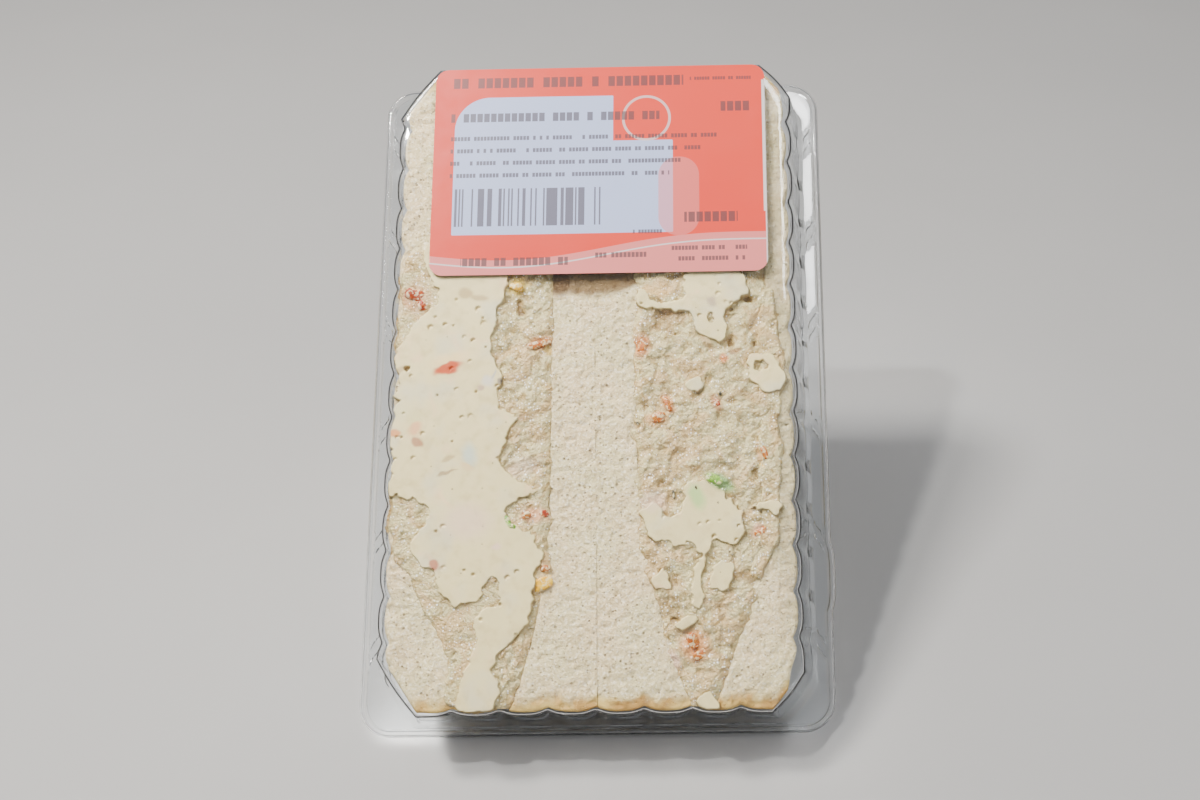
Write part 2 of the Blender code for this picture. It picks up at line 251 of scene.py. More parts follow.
def end_edit() -> None:
    """Turn all faces of the edited mesh outward and leave edit mode."""
    bpy.ops.mesh.select_all(action="SELECT")
    bpy.ops.mesh.normals_make_consistent(inside=False)
    bpy.ops.mesh.select_mode(type="VERT")
    bpy.ops.object.mode_set(mode="OBJECT")


def points_of(item: Item) -> Points:
    """Return a mesh object's vertices as rows of three."""
    flat = np.zeros(len(item.data.vertices) * 3, np.float32)
    item.data.vertices.foreach_get("co", flat)
    return flat.reshape(-1, 3).astype(float)


def move_points(item: Item, points: Points) -> None:
    """Put a mesh object's vertices at the given rows of three."""
    item.data.vertices.foreach_set("co", points.astype(np.float32).ravel())
    item.data.update()


def add_mask(item: Item, name: str, values: Points) -> None:
    """Store one number for each vertex as a named attribute."""
    mask = item.data.attributes.new(name, "FLOAT", "POINT")
    mask.data.foreach_set("value", values.astype(np.float32))


def add_tint(item: Item, name: str, values: Points) -> None:
    """Store a colour with its strength for each vertex as a named attribute."""
    tint = item.data.color_attributes.new(name, "FLOAT_COLOR", "POINT")
    tint.data.foreach_set("color", values.astype(np.float32).ravel())


def take_active(name: str) -> Item:
    """Name the object that an operator has just added, and its mesh."""
    item = bpy.context.active_object
    item.name = name
    item.data.name = name
    return item


def apply_modifier(item: Item, kind: str, **settings: object) -> None:
    """Add a modifier with some settings and apply it."""
    modifier = item.modifiers.new(kind.lower(), kind)
    for key, value in settings.items():
        setattr(modifier, key, value)
    select_only(item)
    bpy.ops.object.modifier_apply(modifier=modifier.name)


def grow_block(name: str, across: int, along: int, rows: int) -> Item:
    """Add a grid, extrude it one unit down and divide the walls into rows.

    Args:
        name: The object's name.
        across: Faces along X.
        along: Faces along Y.
        rows: Rows of faces down the walls.

    Returns:
        A closed block with X and Y from -1 to 1 and Z from 0 at the fine face down to -1.
    """
    deselect_all()
    bpy.ops.mesh.primitive_grid_add(x_subdivisions=across, y_subdivisions=along, size=2.0)
    item = take_active(name)
    bpy.ops.object.mode_set(mode="EDIT")
    bpy.ops.mesh.select_all(action="SELECT")
    bpy.ops.mesh.extrude_region_move(TRANSFORM_OT_translate={"value": (0.0, 0.0, -1.0)})
    bpy.ops.mesh.dissolve_faces()
    bpy.ops.mesh.select_mode(type="EDGE")
    bpy.ops.mesh.select_all(action="DESELECT")
    shape = bmesh.from_edit_mesh(item.data)
    for edge in shape.edges:
        edge.select_set(abs(edge.verts[0].co.z - edge.verts[1].co.z) > 0.5)
    bmesh.update_edit_mesh(item.data)
    bpy.ops.mesh.subdivide(number_cuts=rows - 1)
    end_edit()
    return item


def grow_sheet(name: str, rings: Points, thickness: float) -> Item:
    """Extrude a circle's edges ring by ring, cap the first ring and give the sheet its thickness.

    Args:
        name: The object's name.
        rings: The outer surface, as an array of rings by points by three.
        thickness: The sheet's thickness, which is added on the inner side.

    Returns:
        A closed thin shell.
    """
    count = rings.shape[1]
    deselect_all()
    bpy.ops.mesh.primitive_circle_add(vertices=count, radius=1.0, fill_type="NOTHING")
    item = take_active(name)
    bpy.ops.object.mode_set(mode="EDIT")
    bpy.ops.mesh.select_all(action="SELECT")
    for _ in range(len(rings) - 1):
        bpy.ops.mesh.extrude_region_move(TRANSFORM_OT_translate={"value": (0.0, 0.0, -1.0)})
    bpy.ops.mesh.select_mode(type="EDGE")
    bpy.ops.mesh.select_all(action="DESELECT")
    shape = bmesh.from_edit_mesh(item.data)
    for edge in shape.edges:
        edge.select_set(all(abs(vert.co.z) < 0.5 for vert in edge.verts))
    bmesh.update_edit_mesh(item.data)
    bpy.ops.mesh.edge_face_add()
    end_edit()
    start = points_of(item)
    ring = np.rint(-start[:, 2]).astype(int)
    place = np.rint(np.arctan2(start[:, 1], start[:, 0]) / (2.0 * math.pi) * count).astype(int) % count
    move_points(item, rings[ring, place])
    apply_modifier(item, "SOLIDIFY", thickness=thickness, offset=-1.0)
    return item


def finish_piece(
    item: Item,
    material: Material,
    nodes: Sequence[str] = (),
    smooth_angle: float = 40.0,
) -> None:
    """Tip a pack frame mesh onto the table, dress it and fix it to the pack.

    Args:
        item: The piece, with its place in its mesh.
        material: Its finish.
        nodes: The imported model's nodes that the piece stands for.
        smooth_angle: Edges sharper than this stay sharp, in degrees.
    """
    move_points(item, PACK.stand(points_of(item)))
    item.data.materials.clear()
    item.data.materials.append(material)
    select_only(item)
    bpy.ops.object.shade_smooth_by_angle(angle=math.radians(smooth_angle))
    deselect_all()
    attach(item, BODY)
    if nodes:
        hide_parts(*nodes)
    log.info("%s: %d faces", item.name, len(item.data.polygons))


def linear(red: int, green: int, blue: int) -> Colour:
    """Return a display colour, 0 to 255 a channel, as linear light."""
    return tuple(
        part / 12.92 if part <= 0.04045 else ((part + 0.055) / 1.055) ** 2.4
        for part in (red / 255.0, green / 255.0, blue / 255.0)
    )


class NodeBench:
    """A node tree under construction, with one short call for each kind of step."""

    def __init__(self, tree: NodeTree) -> None:
        """Take the tree that the nodes go into."""
        self.tree = tree

    def node(self, kind: str, **settings: object) -> Node:
        """Add a node and set its properties."""
        made = self.tree.nodes.new(kind)
        for key, value in settings.items():
            setattr(made, key, value)
        return made

    def feed(self, socket: Socket, value: object) -> None:
        """Link a socket to an output, or set its value."""
        if isinstance(value, Socket):
            self.tree.links.new(value, socket)
        elif socket.type == "RGBA":
            socket.default_value = (*value, 1.0)
        else:
            socket.default_value = value

    def math(self, operation: str, first: object, second: object = 0.0, clamp: bool = False) -> Socket:
        """Return the result of a Math node."""
        made = self.node("ShaderNodeMath", operation=operation, use_clamp=clamp)
        self.feed(made.inputs[0], first)
        self.feed(made.inputs[1], second)
        return made.outputs[0]

    def times(self, first: object, second: object) -> Socket:
        """Return two values' product."""
        return self.math("MULTIPLY", first, second)

    def mix(self, factor: object, first: object, second: object) -> Socket:
        """Return a mix of two colours."""
        made = self.node("ShaderNodeMix", data_type="RGBA")
        for index, part in ((0, factor), (6, first), (7, second)):
            self.feed(made.inputs[index], part)
        return made.outputs[2]

    def step(self, value: object, low: object, high: object) -> Socket:
        """Return 0 below low and 1 above high, with a soft step between."""
        made = self.node("ShaderNodeMapRange", interpolation_type="SMOOTHSTEP")
        for index, part in enumerate((value, low, high)):
            self.feed(made.inputs[index], part)
        return made.outputs[0]

    def span(self, value: object, low: float, high: float, out_low: float, out_high: float) -> Socket:
        """Return a value moved from one range to another, and held at its ends."""
        made = self.node("ShaderNodeMapRange")
        for index, part in enumerate((value, low, high, out_low, out_high)):
            self.feed(made.inputs[index], part)
        return made.outputs[0]

    def noise(self, pitch: float, detail: float = 2.0, distortion: float = 0.0) -> Socket:
        """Return noise between 0 and 1 whose blobs are about as large as the pitch, in millimetres."""
        made = self.node("ShaderNodeTexNoise")
        scale = 1.0 / (pitch * MM)
        self.dress(made, Vector=self.place, Scale=scale, Detail=detail, Distortion=distortion)
        return made.outputs[0]

    def wash(self, colour: object, mask: object, share: float, over: object) -> Socket:
        """Return a colour with another laid over it where a mask is, at a share of the mask's strength."""
        return self.mix(self.times(mask, share), colour, over)

    def tinted(self, colour: object) -> Socket:
        """Return a colour with the piece's own soft spots laid over it."""
        tint = self.node("ShaderNodeAttribute", attribute_name="tint")
        return self.mix(tint.outputs["Alpha"], colour, tint.outputs["Color"])

    @cached_property
    def place(self) -> Socket:
        """The Object coordinates."""
        return self.node("ShaderNodeTexCoord").outputs["Object"]

    def attribute(self, name: str) -> Socket:
        """Return a number that the mesh stores."""
        return self.node("ShaderNodeAttribute", attribute_name=name).outputs["Fac"]

    def group(self, tree: NodeTree, **inputs: object) -> Node:
        """Place a node group with its own values."""
        made = self.node("ShaderNodeGroup", node_tree=tree)
        self.dress(made, **inputs)
        return made

    def dress(self, node: Node, **inputs: object) -> None:
        """Feed a node's inputs, whose names are written here with _ for a space."""
        for key, value in inputs.items():
            self.feed(node.inputs[key.replace("_", " ")], value)

    def bump(self, height: object, distance: float, strength: float = 1.0) -> Socket:
        """Return a normal that is tilted by a height."""
        made = self.node("ShaderNodeBump")
        self.dress(made, Strength=strength, Distance=distance, Height=height)
        return made.outputs[0]


def new_group(name: str, inputs: dict[str, str], outputs: dict[str, str]) -> tuple[NodeBench, Node, Node]:
    """Start a shader node group.

    Args:
        name: The group's name.
        inputs: Socket kinds by name.
        outputs: Socket kinds by name.

    Returns:
        The bench, the group's input node and its output node.
    """
    tree = bpy.data.node_groups.new(name, "ShaderNodeTree")
    for key, kind in inputs.items():
        tree.interface.new_socket(name=key, in_out="INPUT", socket_type=kind)
    for key, kind in outputs.items():
        tree.interface.new_socket(name=key, in_out="OUTPUT", socket_type=kind)
    bench = NodeBench(tree)
    return bench, bench.node("NodeGroupInput"), bench.node("NodeGroupOutput")


def build_speckle_group() -> NodeTree:
    """Build the group for small scattered specks, such as pores, herbs and painted wet highlights."""
    numbers = {key: "NodeSocketFloat" for key in ("Pitch", "Size", "Share")}
    bench, given, out = new_group(
        "speckle", {"Vector": "NodeSocketVector", **numbers}, {"Mask": "NodeSocketFloat"}
    )
    cells = bench.node("ShaderNodeTexVoronoi")
    scale = bench.math("DIVIDE", 1.0, given.outputs["Pitch"])
    bench.dress(cells, Vector=given.outputs["Vector"], Scale=scale)
    draw = bench.node("ShaderNodeSeparateColor")
    bench.feed(draw.inputs[0], cells.outputs["Color"])
    chosen = bench.math("LESS_THAN", draw.outputs[0], given.outputs["Share"])
    reach = bench.times(given.outputs["Size"], bench.span(draw.outputs[1], 0.0, 1.0, 0.4, 1.0))
    core = bench.times(reach, 0.5)
    spot = bench.math("SUBTRACT", 1.0, bench.step(cells.outputs["Distance"], core, reach))
    bench.feed(out.inputs["Mask"], bench.times(spot, chosen))
    return bench.tree


def build_field_group() -> NodeTree:
    """Build the group for one printed field: a rounded box in the label's millimetres."""
    bench, given, out = new_group(
        "printed_field",
        {key: "NodeSocketFloat" for key in ("X", "Y", "Left", "Right", "Low", "High", "Radius")},
        {"Mask": "NodeSocketFloat"},
    )
    reaches = []
    for axis, low, high in (("X", "Left", "Right"), ("Y", "Low", "High")):
        centre = bench.times(bench.math("ADD", given.outputs[low], given.outputs[high]), 0.5)
        half = bench.times(bench.math("SUBTRACT", given.outputs[high], given.outputs[low]), 0.5)
        away = bench.math("ABSOLUTE", bench.math("SUBTRACT", given.outputs[axis], centre))
        reaches.append(bench.math("ADD", bench.math("SUBTRACT", away, half), given.outputs["Radius"]))
    outer = [bench.math("MAXIMUM", reach, 0.0) for reach in reaches]
    square = bench.math("ADD", bench.math("POWER", outer[0], 2.0), bench.math("POWER", outer[1], 2.0))
    inner = bench.math("MINIMUM", bench.math("MAXIMUM", *reaches), 0.0)
    reach = bench.math("ADD", bench.math("SQRT", square), inner)
    distance = bench.math("SUBTRACT", reach, given.outputs["Radius"])
    bench.feed(out.inputs["Mask"], bench.math("SUBTRACT", 1.0, bench.step(distance, -0.05, 0.05)))
    return bench.tree


@dataclass(frozen=True)
class Effects:
    """The node groups that several finishes share."""

    speckle: NodeTree
    printed_field: NodeTree

    def specks(self, bench: NodeBench, pitch: float, size: float, share: float) -> Socket:
        """Return the mask of scattered specks.

        Args:
            bench: The material's bench.
            pitch: The cells' size, in millimetres.
            size: A speck's largest radius, as a share of the pitch.
            share: How many of the cells hold a speck.

        Returns:
            The mask's socket.
        """
        made = bench.group(self.speckle, Vector=bench.place, Pitch=pitch * MM, Size=size, Share=share)
        return made.outputs[0]


def start_material(name: str) -> tuple[Material, NodeBench, Node]:
    """Return a new material, its bench and its Principled shader."""
    material = bpy.data.materials.new(name)
    material.use_nodes = True
    return material, NodeBench(material.node_tree), material.node_tree.nodes["Principled BSDF"]


@dataclass(frozen=True)
class ClearFinish:
    """Thin clear formed plastic that lets the lamps through to what is behind it."""

    name: str
    tint: Colour
    roughness: float = 0.03
    ior: float = 1.48
    ripple: float = 0.06 * MM
    smeared: float = 0.09

    def build(self) -> Material:
        """Build the material."""
        material, bench, shader = start_material(self.name)
        smear = bench.noise(9.0, 3.0, 0.6)
        rough = bench.span(smear, 0.45, 0.75, self.roughness, self.roughness + self.smeared)
        normal = bench.bump(bench.noise(7.0, 1.0), self.ripple, 0.35)
        bench.dress(shader, Base_Color=self.tint, IOR=self.ior, Transmission_Weight=1.0)
        bench.dress(shader, Roughness=rough, Normal=normal)
        clear = bench.node("ShaderNodeBsdfTransparent")
        bench.feed(clear.inputs["Color"], tuple(0.5 + 0.5 * part for part in self.tint))
        mix = bench.node("ShaderNodeMixShader")
        shadow = bench.node("ShaderNodeLightPath").outputs["Is Shadow Ray"]
        for index, part in enumerate((shadow, shader.outputs[0], clear.outputs[0])):
            bench.feed(mix.inputs[index], part)
        bench.feed(material.node_tree.nodes["Material Output"].inputs["Surface"], mix.outputs[0])
        return material


@dataclass(frozen=True)
class BreadFinish:
    """White bread: fine open crumb with small pores darkened as painted shade, and a thin golden crust."""

    effects: Effects
    crumb: Colour = linear(203, 189, 144)
    crumb_shade: Colour = linear(164, 142, 98)
    crumb_warm: Colour = linear(210, 188, 146)
    grain: Colour = linear(236, 228, 206)
    pore: Colour = linear(96, 74, 40)
    crust: Colour = linear(156, 114, 40)
    crust_dark: Colour = linear(106, 68, 20)
    crust_pale: Colour = linear(198, 168, 90)

    def build(self) -> Material:
        """Build the material.

        Returns:
            The material.
        """
        material, bench, shader = start_material("bread_crumb_fine")
        patches = bench.step(bench.noise(9.0, 3.0), 0.35, 0.68)
        colour = bench.mix(patches, self.crumb, self.crumb_warm)
        mottle = bench.step(bench.noise(1.5, 3.0), 0.42, 0.75)
        colour = bench.wash(colour, mottle, 0.6, self.crumb_shade)
        grains = bench.step(bench.noise(0.62, 2.0), 0.5, 0.68)
        colour = bench.wash(colour, grains, 0.5, self.grain)
        # Painted shade: the small holes of the crumb are darkened, at the same places that the bump below
        # sinks.
        pores = self.effects.specks(bench, 1.15, 0.36, 0.36)
        pinholes = self.effects.specks(bench, 0.6, 0.45, 0.28)
        dark = bench.math("MAXIMUM", pores, bench.times(pinholes, 0.8))
        colour = bench.wash(colour, dark, 0.62, self.pore)
        edge = bench.attribute("from_crust")
        wander = bench.span(bench.noise(3.0, 2.0), 0.25, 0.75, -0.9, 0.9)
        skin = bench.math("SUBTRACT", 1.0, bench.step(bench.math("ADD", edge, wander), 0.7, 2.9))
        paler = bench.step(bench.noise(6.0, 4.0), 0.38, 0.66)
        golden = bench.mix(paler, self.crust, self.crust_pale)
        baked = bench.step(bench.noise(2.2, 4.0, 0.4), 0.52, 0.74)
        golden = bench.wash(golden, baked, 0.5, self.crust_dark)
        dust = self.effects.specks(bench, 1.4, 0.24, 0.35)
        golden = bench.wash(golden, dust, 0.55, self.crumb_warm)
        colour = bench.wash(colour, skin, 0.92, golden)
        # The slices' spots are painted shade: the label's shadow and a shaded strip at the right.
        colour = bench.tinted(colour)
        rough = bench.span(skin, 0.0, 1.0, 0.9, 0.6)
        fine = bench.math("ADD", bench.noise(0.5, 2.0), bench.noise(1.6, 2.0))
        height = bench.math("SUBTRACT", fine, bench.times(dark, 0.9))
        flat = bench.span(skin, 0.0, 1.0, 1.0, 0.4)
        normal = bench.bump(bench.times(height, flat), 0.35 * MM, 0.8)
        bench.dress(shader, Base_Color=colour, Roughness=rough, Specular_IOR_Level=0.25, Normal=normal)
        return material


@dataclass(frozen=True)
class SaladFinish:
    """Moist chopped chicken in cream dressing, with wet highlights partly painted as white specks, and
    painted tan shade in its hollows.
    """

    effects: Effects
    cream: Colour = linear(194, 180, 130)
    chicken: Colour = linear(193, 159, 108)
    # The hollow colour is painted shade for the salad's hollows, and also tints darker olive patches at
    # random; the crease colour below it is painted shade for the deepest creases.
    hollow: Colour = linear(150, 121, 64)
    painted_crease_shade: Colour = linear(104, 74, 32)
    pore: Colour = linear(70, 52, 28)
    # The glint colour is a painted highlight.
    painted_glint: Colour = linear(255, 253, 244)

    def build(self) -> Material:
        """Build the material.

        Returns:
            The material.
        """
        material, bench, shader = start_material("chicken_salad_moist")
        meat = bench.step(bench.noise(6.0, 3.0, 0.8), 0.46, 0.62)
        colour = bench.mix(bench.times(meat, 0.75), self.cream, self.chicken)
        olive = bench.step(bench.noise(1.9, 4.0, 0.6), 0.46, 0.7)
        colour = bench.wash(colour, olive, 0.7, self.hollow)
        shreds = bench.step(bench.noise(0.8, 3.0, 1.0), 0.5, 0.66)
        colour = bench.wash(colour, shreds, 0.45, self.hollow)
        # Painted shade: darker tan where the face sinks below HOLLOW_TOP, darkest in the deepest creases.
        depth = bench.attribute("hollow")
        colour = bench.wash(colour, bench.step(depth, 0.3, 0.95), 0.8, self.hollow)
        colour = bench.wash(colour, bench.step(depth, 0.72, 1.0), 0.7, self.painted_crease_shade)
        specks = self.effects.specks(bench, 1.7, 0.2, 0.16)
        colour = bench.wash(colour, specks, 0.7, self.pore)
        colour = bench.tinted(colour)
        # Painted highlights: white specks laid on the raised lumps where the wet salad would catch the lamps.
        wide = self.effects.specks(bench, 0.9, 0.36, 0.55)
        fine = self.effects.specks(bench, 0.5, 0.46, 0.36)
        patch = bench.step(bench.noise(3.2, 2.0), 0.36, 0.56)
        painted_glints = bench.times(bench.math("MAXIMUM", wide, fine), patch)
        raised = bench.math("SUBTRACT", 1.0, bench.step(depth, 0.5, 0.95))
        shown = bench.times(painted_glints, bench.times(raised, 0.9))
        colour = bench.mix(shown, colour, self.painted_glint)
        rough = bench.span(bench.noise(1.2, 2.0), 0.3, 0.7, 0.1, 0.26)
        wet = bench.math("ADD", bench.noise(0.5, 2.0), bench.noise(1.1, 2.0))
        normal = bench.bump(wet, 0.5 * MM, 0.9)
        bench.dress(shader, Base_Color=colour, Roughness=rough, Specular_IOR_Level=0.75, Normal=normal)
        return material


@dataclass(frozen=True)
class DressingFinish:
    """Cream dressing pressed smooth against the window, with tints of what lies under it."""

    effects: Effects
    cream: Colour = linear(209, 193, 141)
    cool: Colour = linear(196, 189, 158)
    pink: Colour = linear(220, 186, 144)
    speck: Colour = linear(96, 84, 42)
    # The edge colour is painted shade at the film's falling edges and pits, standing also for the thin
    # dressing showing the tan salad; it also tints a light random mottle.
    edge: Colour = linear(140, 108, 50)

    def build(self) -> Material:
        """Build the material.

        Returns:
            The material.
        """
        material, bench, shader = start_material("dressing_cream")
        cool = bench.step(bench.noise(8.0, 2.0), 0.5, 0.72)
        colour = bench.mix(bench.times(cool, 0.7), self.cream, self.cool)
        pink = bench.step(bench.noise(6.5, 2.0, 0.7), 0.56, 0.74)
        colour = bench.wash(colour, pink, 0.6, self.pink)
        mottle = bench.step(bench.noise(2.2, 4.0), 0.45, 0.75)
        colour = bench.wash(colour, mottle, 0.22, self.edge)
        specks = self.effects.specks(bench, 2.2, 0.14, 0.45)
        colour = bench.wash(colour, specks, 0.7, self.speck)
        # Painted shade along the film's falling edges and in its pits, also standing for the thin dressing's
        # tan see-through rim.
        colour = bench.wash(colour, bench.attribute("edge"), 0.85, self.edge)
        colour = bench.tinted(colour)
        rough = bench.span(bench.noise(3.0, 2.0), 0.3, 0.7, 0.4, 0.55)
        normal = bench.bump(bench.noise(2.0, 2.0), 0.06 * MM, 0.4)
        bench.dress(shader, Base_Color=colour, Roughness=rough, Specular_IOR_Level=0.25, Normal=normal)
        return material


@dataclass(frozen=True)
class PepperFinish:
    """Wet chopped vegetable of one colour, paler where its flesh shows."""

    name: str
    skin: Colour
    flesh: Colour
    cream: Colour = linear(216, 202, 160)

    def build(self) -> Material:
        """Build the material."""
        material, bench, shader = start_material(self.name)
        patches = bench.step(bench.noise(1.1, 3.0, 0.5), 0.42, 0.7)
        coated = bench.step(bench.noise(0.9, 3.0, 0.8), 0.5, 0.6)
        colour = bench.mix(patches, self.skin, self.flesh)
        colour = bench.wash(colour, coated, 0.75, self.cream)
        rough = bench.span(bench.noise(0.8), 0.3, 0.7, 0.12, 0.4)
        normal = bench.bump(bench.noise(0.5, 2.0), 0.25 * MM, 0.7)
        bench.dress(shader, Base_Color=colour, Roughness=rough, Normal=normal)
        return material


@dataclass(frozen=True)
class PaperFinish:
    """Semi-gloss label paper with its printed fields, all in the label's own millimetres."""

    effects: Effects
    width: float
    height: float
    orange: Colour = linear(255, 66, 30)
    orange_deep: Colour = linear(255, 54, 22)
    lavender: Colour = linear(198, 212, 255)
    pink: Colour = linear(255, 138, 132)
    white: Colour = linear(240, 228, 226)
    ink: Colour = linear(74, 56, 60)
    panels: tuple[tuple[float, ...], ...] = (
        (4.7, 40.9, 9.4, 42.7, 8.0), (16.0, 40.9, 9.4, 42.7, 0.2), (4.7, 54.5, 9.4, 31.6, 0.3),
    )
    margins: tuple[tuple[float, ...], ...] = ((74.9, 77.0, 14.0, 46.0, 0.02), (75.3, 77.0, -1.0, 46.0, 0.02))
    tag: tuple[float, ...] = (51.2, 60.4, 8.6, 27.4, 4.4)
    ring: tuple[tuple[float, ...], ...] = ((42.9, 54.1, 31.4, 42.6, 5.6), (43.5, 53.5, 32.0, 42.0, 5.0))
    bar_block: tuple[float, ...] = (5.2, 38.4, 11.4, 20.4, 0.02)
    bar_width: float = 0.36
    rules: tuple[tuple[float, ...], ...] = (
        (3.5, 57.0, 46.3, 2.5), (3.8, 51.5, 37.7, 2.1), (58.5, 72.5, 46.6, 0.8), (65.5, 73.0, 39.6, 2.4),
        *((3.8, 64.5 - 3.6 * index, 32.6 - 3.0 * index, 1.0) for index in range(4)),
        (7.0, 31.0, 3.0, 1.9), (37.0, 48.5, 4.2, 1.2), (54.0, 71.0, 5.6, 1.0), (54.0, 71.0, 3.1, 1.0),
        (57.0, 69.0, 12.9, 2.4), (45.5, 52.5, 9.6, 0.9),
    )

    def field(self, bench: NodeBench, x: object, y: object, box: Sequence[float]) -> Socket:
        """Return the mask of one printed field: left, right, low, high and corner radius."""
        left, right, low, high, radius = box
        made = bench.group(
            self.effects.printed_field, X=x, Y=y, Left=left, Right=right, Low=low, High=high, Radius=radius
        )
        return made.outputs[0]

    def rule_row(self, bench: NodeBench, x: object, y: object, row: Sequence[float], seed: float) -> Socket:
        """Return the mask of one broken rule: left, right, middle height and thickness.

        Args:
            bench: The print's bench.
            x: Across the label.
            y: Up the label.
            row: Left, right, middle height and thickness.
            seed: Picks another run of gaps.

        Returns:
            The mask's socket.
        """
        left, right, middle, thickness = row
        half = 0.5 * thickness
        line = self.field(bench, x, y, (left, right, middle - half, middle + half, 0.05))
        draw = bench.node("ShaderNodeTexWhiteNoise", noise_dimensions="1D")
        word = bench.math("DIVIDE", x, 0.75 * thickness)
        bench.feed(draw.inputs["W"], bench.math("ADD", bench.math("FLOOR", word), seed))
        gap = bench.math("GREATER_THAN", bench.math("FRACT", word), 0.2)
        shown = bench.times(gap, bench.math("GREATER_THAN", draw.outputs[0], 0.17))
        return bench.times(line, shown)

    def bars(self, bench: NodeBench, x: object, y: object) -> Socket:
        """Return the mask of a block of plain bars of random widths."""
        block = self.field(bench, x, y, self.bar_block)
        draw = bench.node("ShaderNodeTexWhiteNoise", noise_dimensions="1D")
        bench.feed(draw.inputs["W"], bench.math("FLOOR", bench.math("DIVIDE", x, self.bar_width)))
        return bench.times(block, bench.math("GREATER_THAN", draw.outputs[0], 0.46))

    def build(self) -> Material:
        """Build the material.

        Returns:
            The material.
        """
        material, bench, shader = start_material("label_print")
        flat = bench.node("ShaderNodeSeparateXYZ")
        bench.feed(flat.inputs[0], bench.node("ShaderNodeUVMap", uv_map="label").outputs[0])
        x = bench.times(flat.outputs[0], self.width / MM)
        y = bench.times(flat.outputs[1], self.height / MM)
        colour = bench.mix(bench.noise(14.0, 2.0), self.orange, self.orange_deep)
        for box in self.panels:
            colour = bench.mix(self.field(bench, x, y, box), colour, self.lavender)
        swell = bench.math("SINE", bench.times(x, 0.083))
        lift = bench.math("ADD", 4.6, bench.times(bench.times(x, x), 0.0008))
        crest = bench.math("ADD", lift, bench.times(swell, -1.5))
        band = bench.step(bench.math("SUBTRACT", crest, y), -0.05, 0.05)
        colour = bench.mix(band, colour, self.pink)
        away = bench.math("ABSOLUTE", bench.math("SUBTRACT", bench.math("ADD", crest, -1.7), y))
        colour = bench.mix(bench.math("SUBTRACT", 1.0, bench.step(away, 0.1, 0.22)), colour, self.white)
        colour = bench.wash(colour, self.field(bench, x, y, self.tag), 0.6, self.pink)
        outer, inner = (self.field(bench, x, y, box) for box in self.ring)
        colour = bench.wash(colour, bench.math("SUBTRACT", outer, inner, clamp=True), 0.7, self.white)
        for box in self.margins:
            colour = bench.mix(self.field(bench, x, y, box), colour, self.white)
        ink = self.bars(bench, x, y)
        for index, row in enumerate(self.rules):
            ink = bench.math("MAXIMUM", ink, self.rule_row(bench, x, y, row, 17.0 * index))
        colour = bench.wash(colour, ink, 0.8, self.ink)
        colour = bench.mix(bench.attribute("paper_edge"), colour, self.white)
        rough = bench.span(bench.noise(4.0), 0.3, 0.7, 0.36, 0.46)
        normal = bench.bump(bench.noise(0.35, 3.0), 0.03 * MM, 0.35)
        bench.dress(shader, Base_Color=colour, Roughness=rough, Normal=normal)
        return material


@dataclass(frozen=True)
class FloorFinish:
    """A plain pale table top with the faintest mottle."""

    pale: Colour = (0.56, 0.55, 0.54)
    shade: Colour = (0.52, 0.51, 0.50)

    def build(self) -> Material:
        """Build the material."""
        material, bench, shader = start_material("pale_floor")
        mottle = bench.noise(60.0, 3.0)
        bench.dress(shader, Base_Color=bench.mix(mottle, self.pale, self.shade), Roughness=0.6)
        return material


class Side(Enum):
    """The four long sides of a fluted outline, in the order that its points run."""

    RIGHT = 0
    HEAD = 1
    LEFT = 2
    FOOT = 3


def corner_runs(box: Sequence[float], radius: float, steps: int) -> list[Points]:
    """Return the corners of a rounded box, from the lower right one counter-clockwise.

    Args:
        box: Its left, right, low and high.
        radius: Its corners' radius.
        steps: Steps round each corner.

    Returns:
        Four runs of u and v.
    """
    left, right, low, high = box
    centres = ((right - radius, low + radius), (right - radius, high - radius))
    centres += ((left + radius, high - radius), (left + radius, low + radius))
    runs = []
    for index, centre in enumerate(centres):
        angles = np.linspace(0.0, 0.5 * math.pi, steps + 1) + (index - 1) * 0.5 * math.pi
        runs.append(np.array(centre) + radius * np.stack([np.cos(angles), np.sin(angles)], axis=1))
    return runs


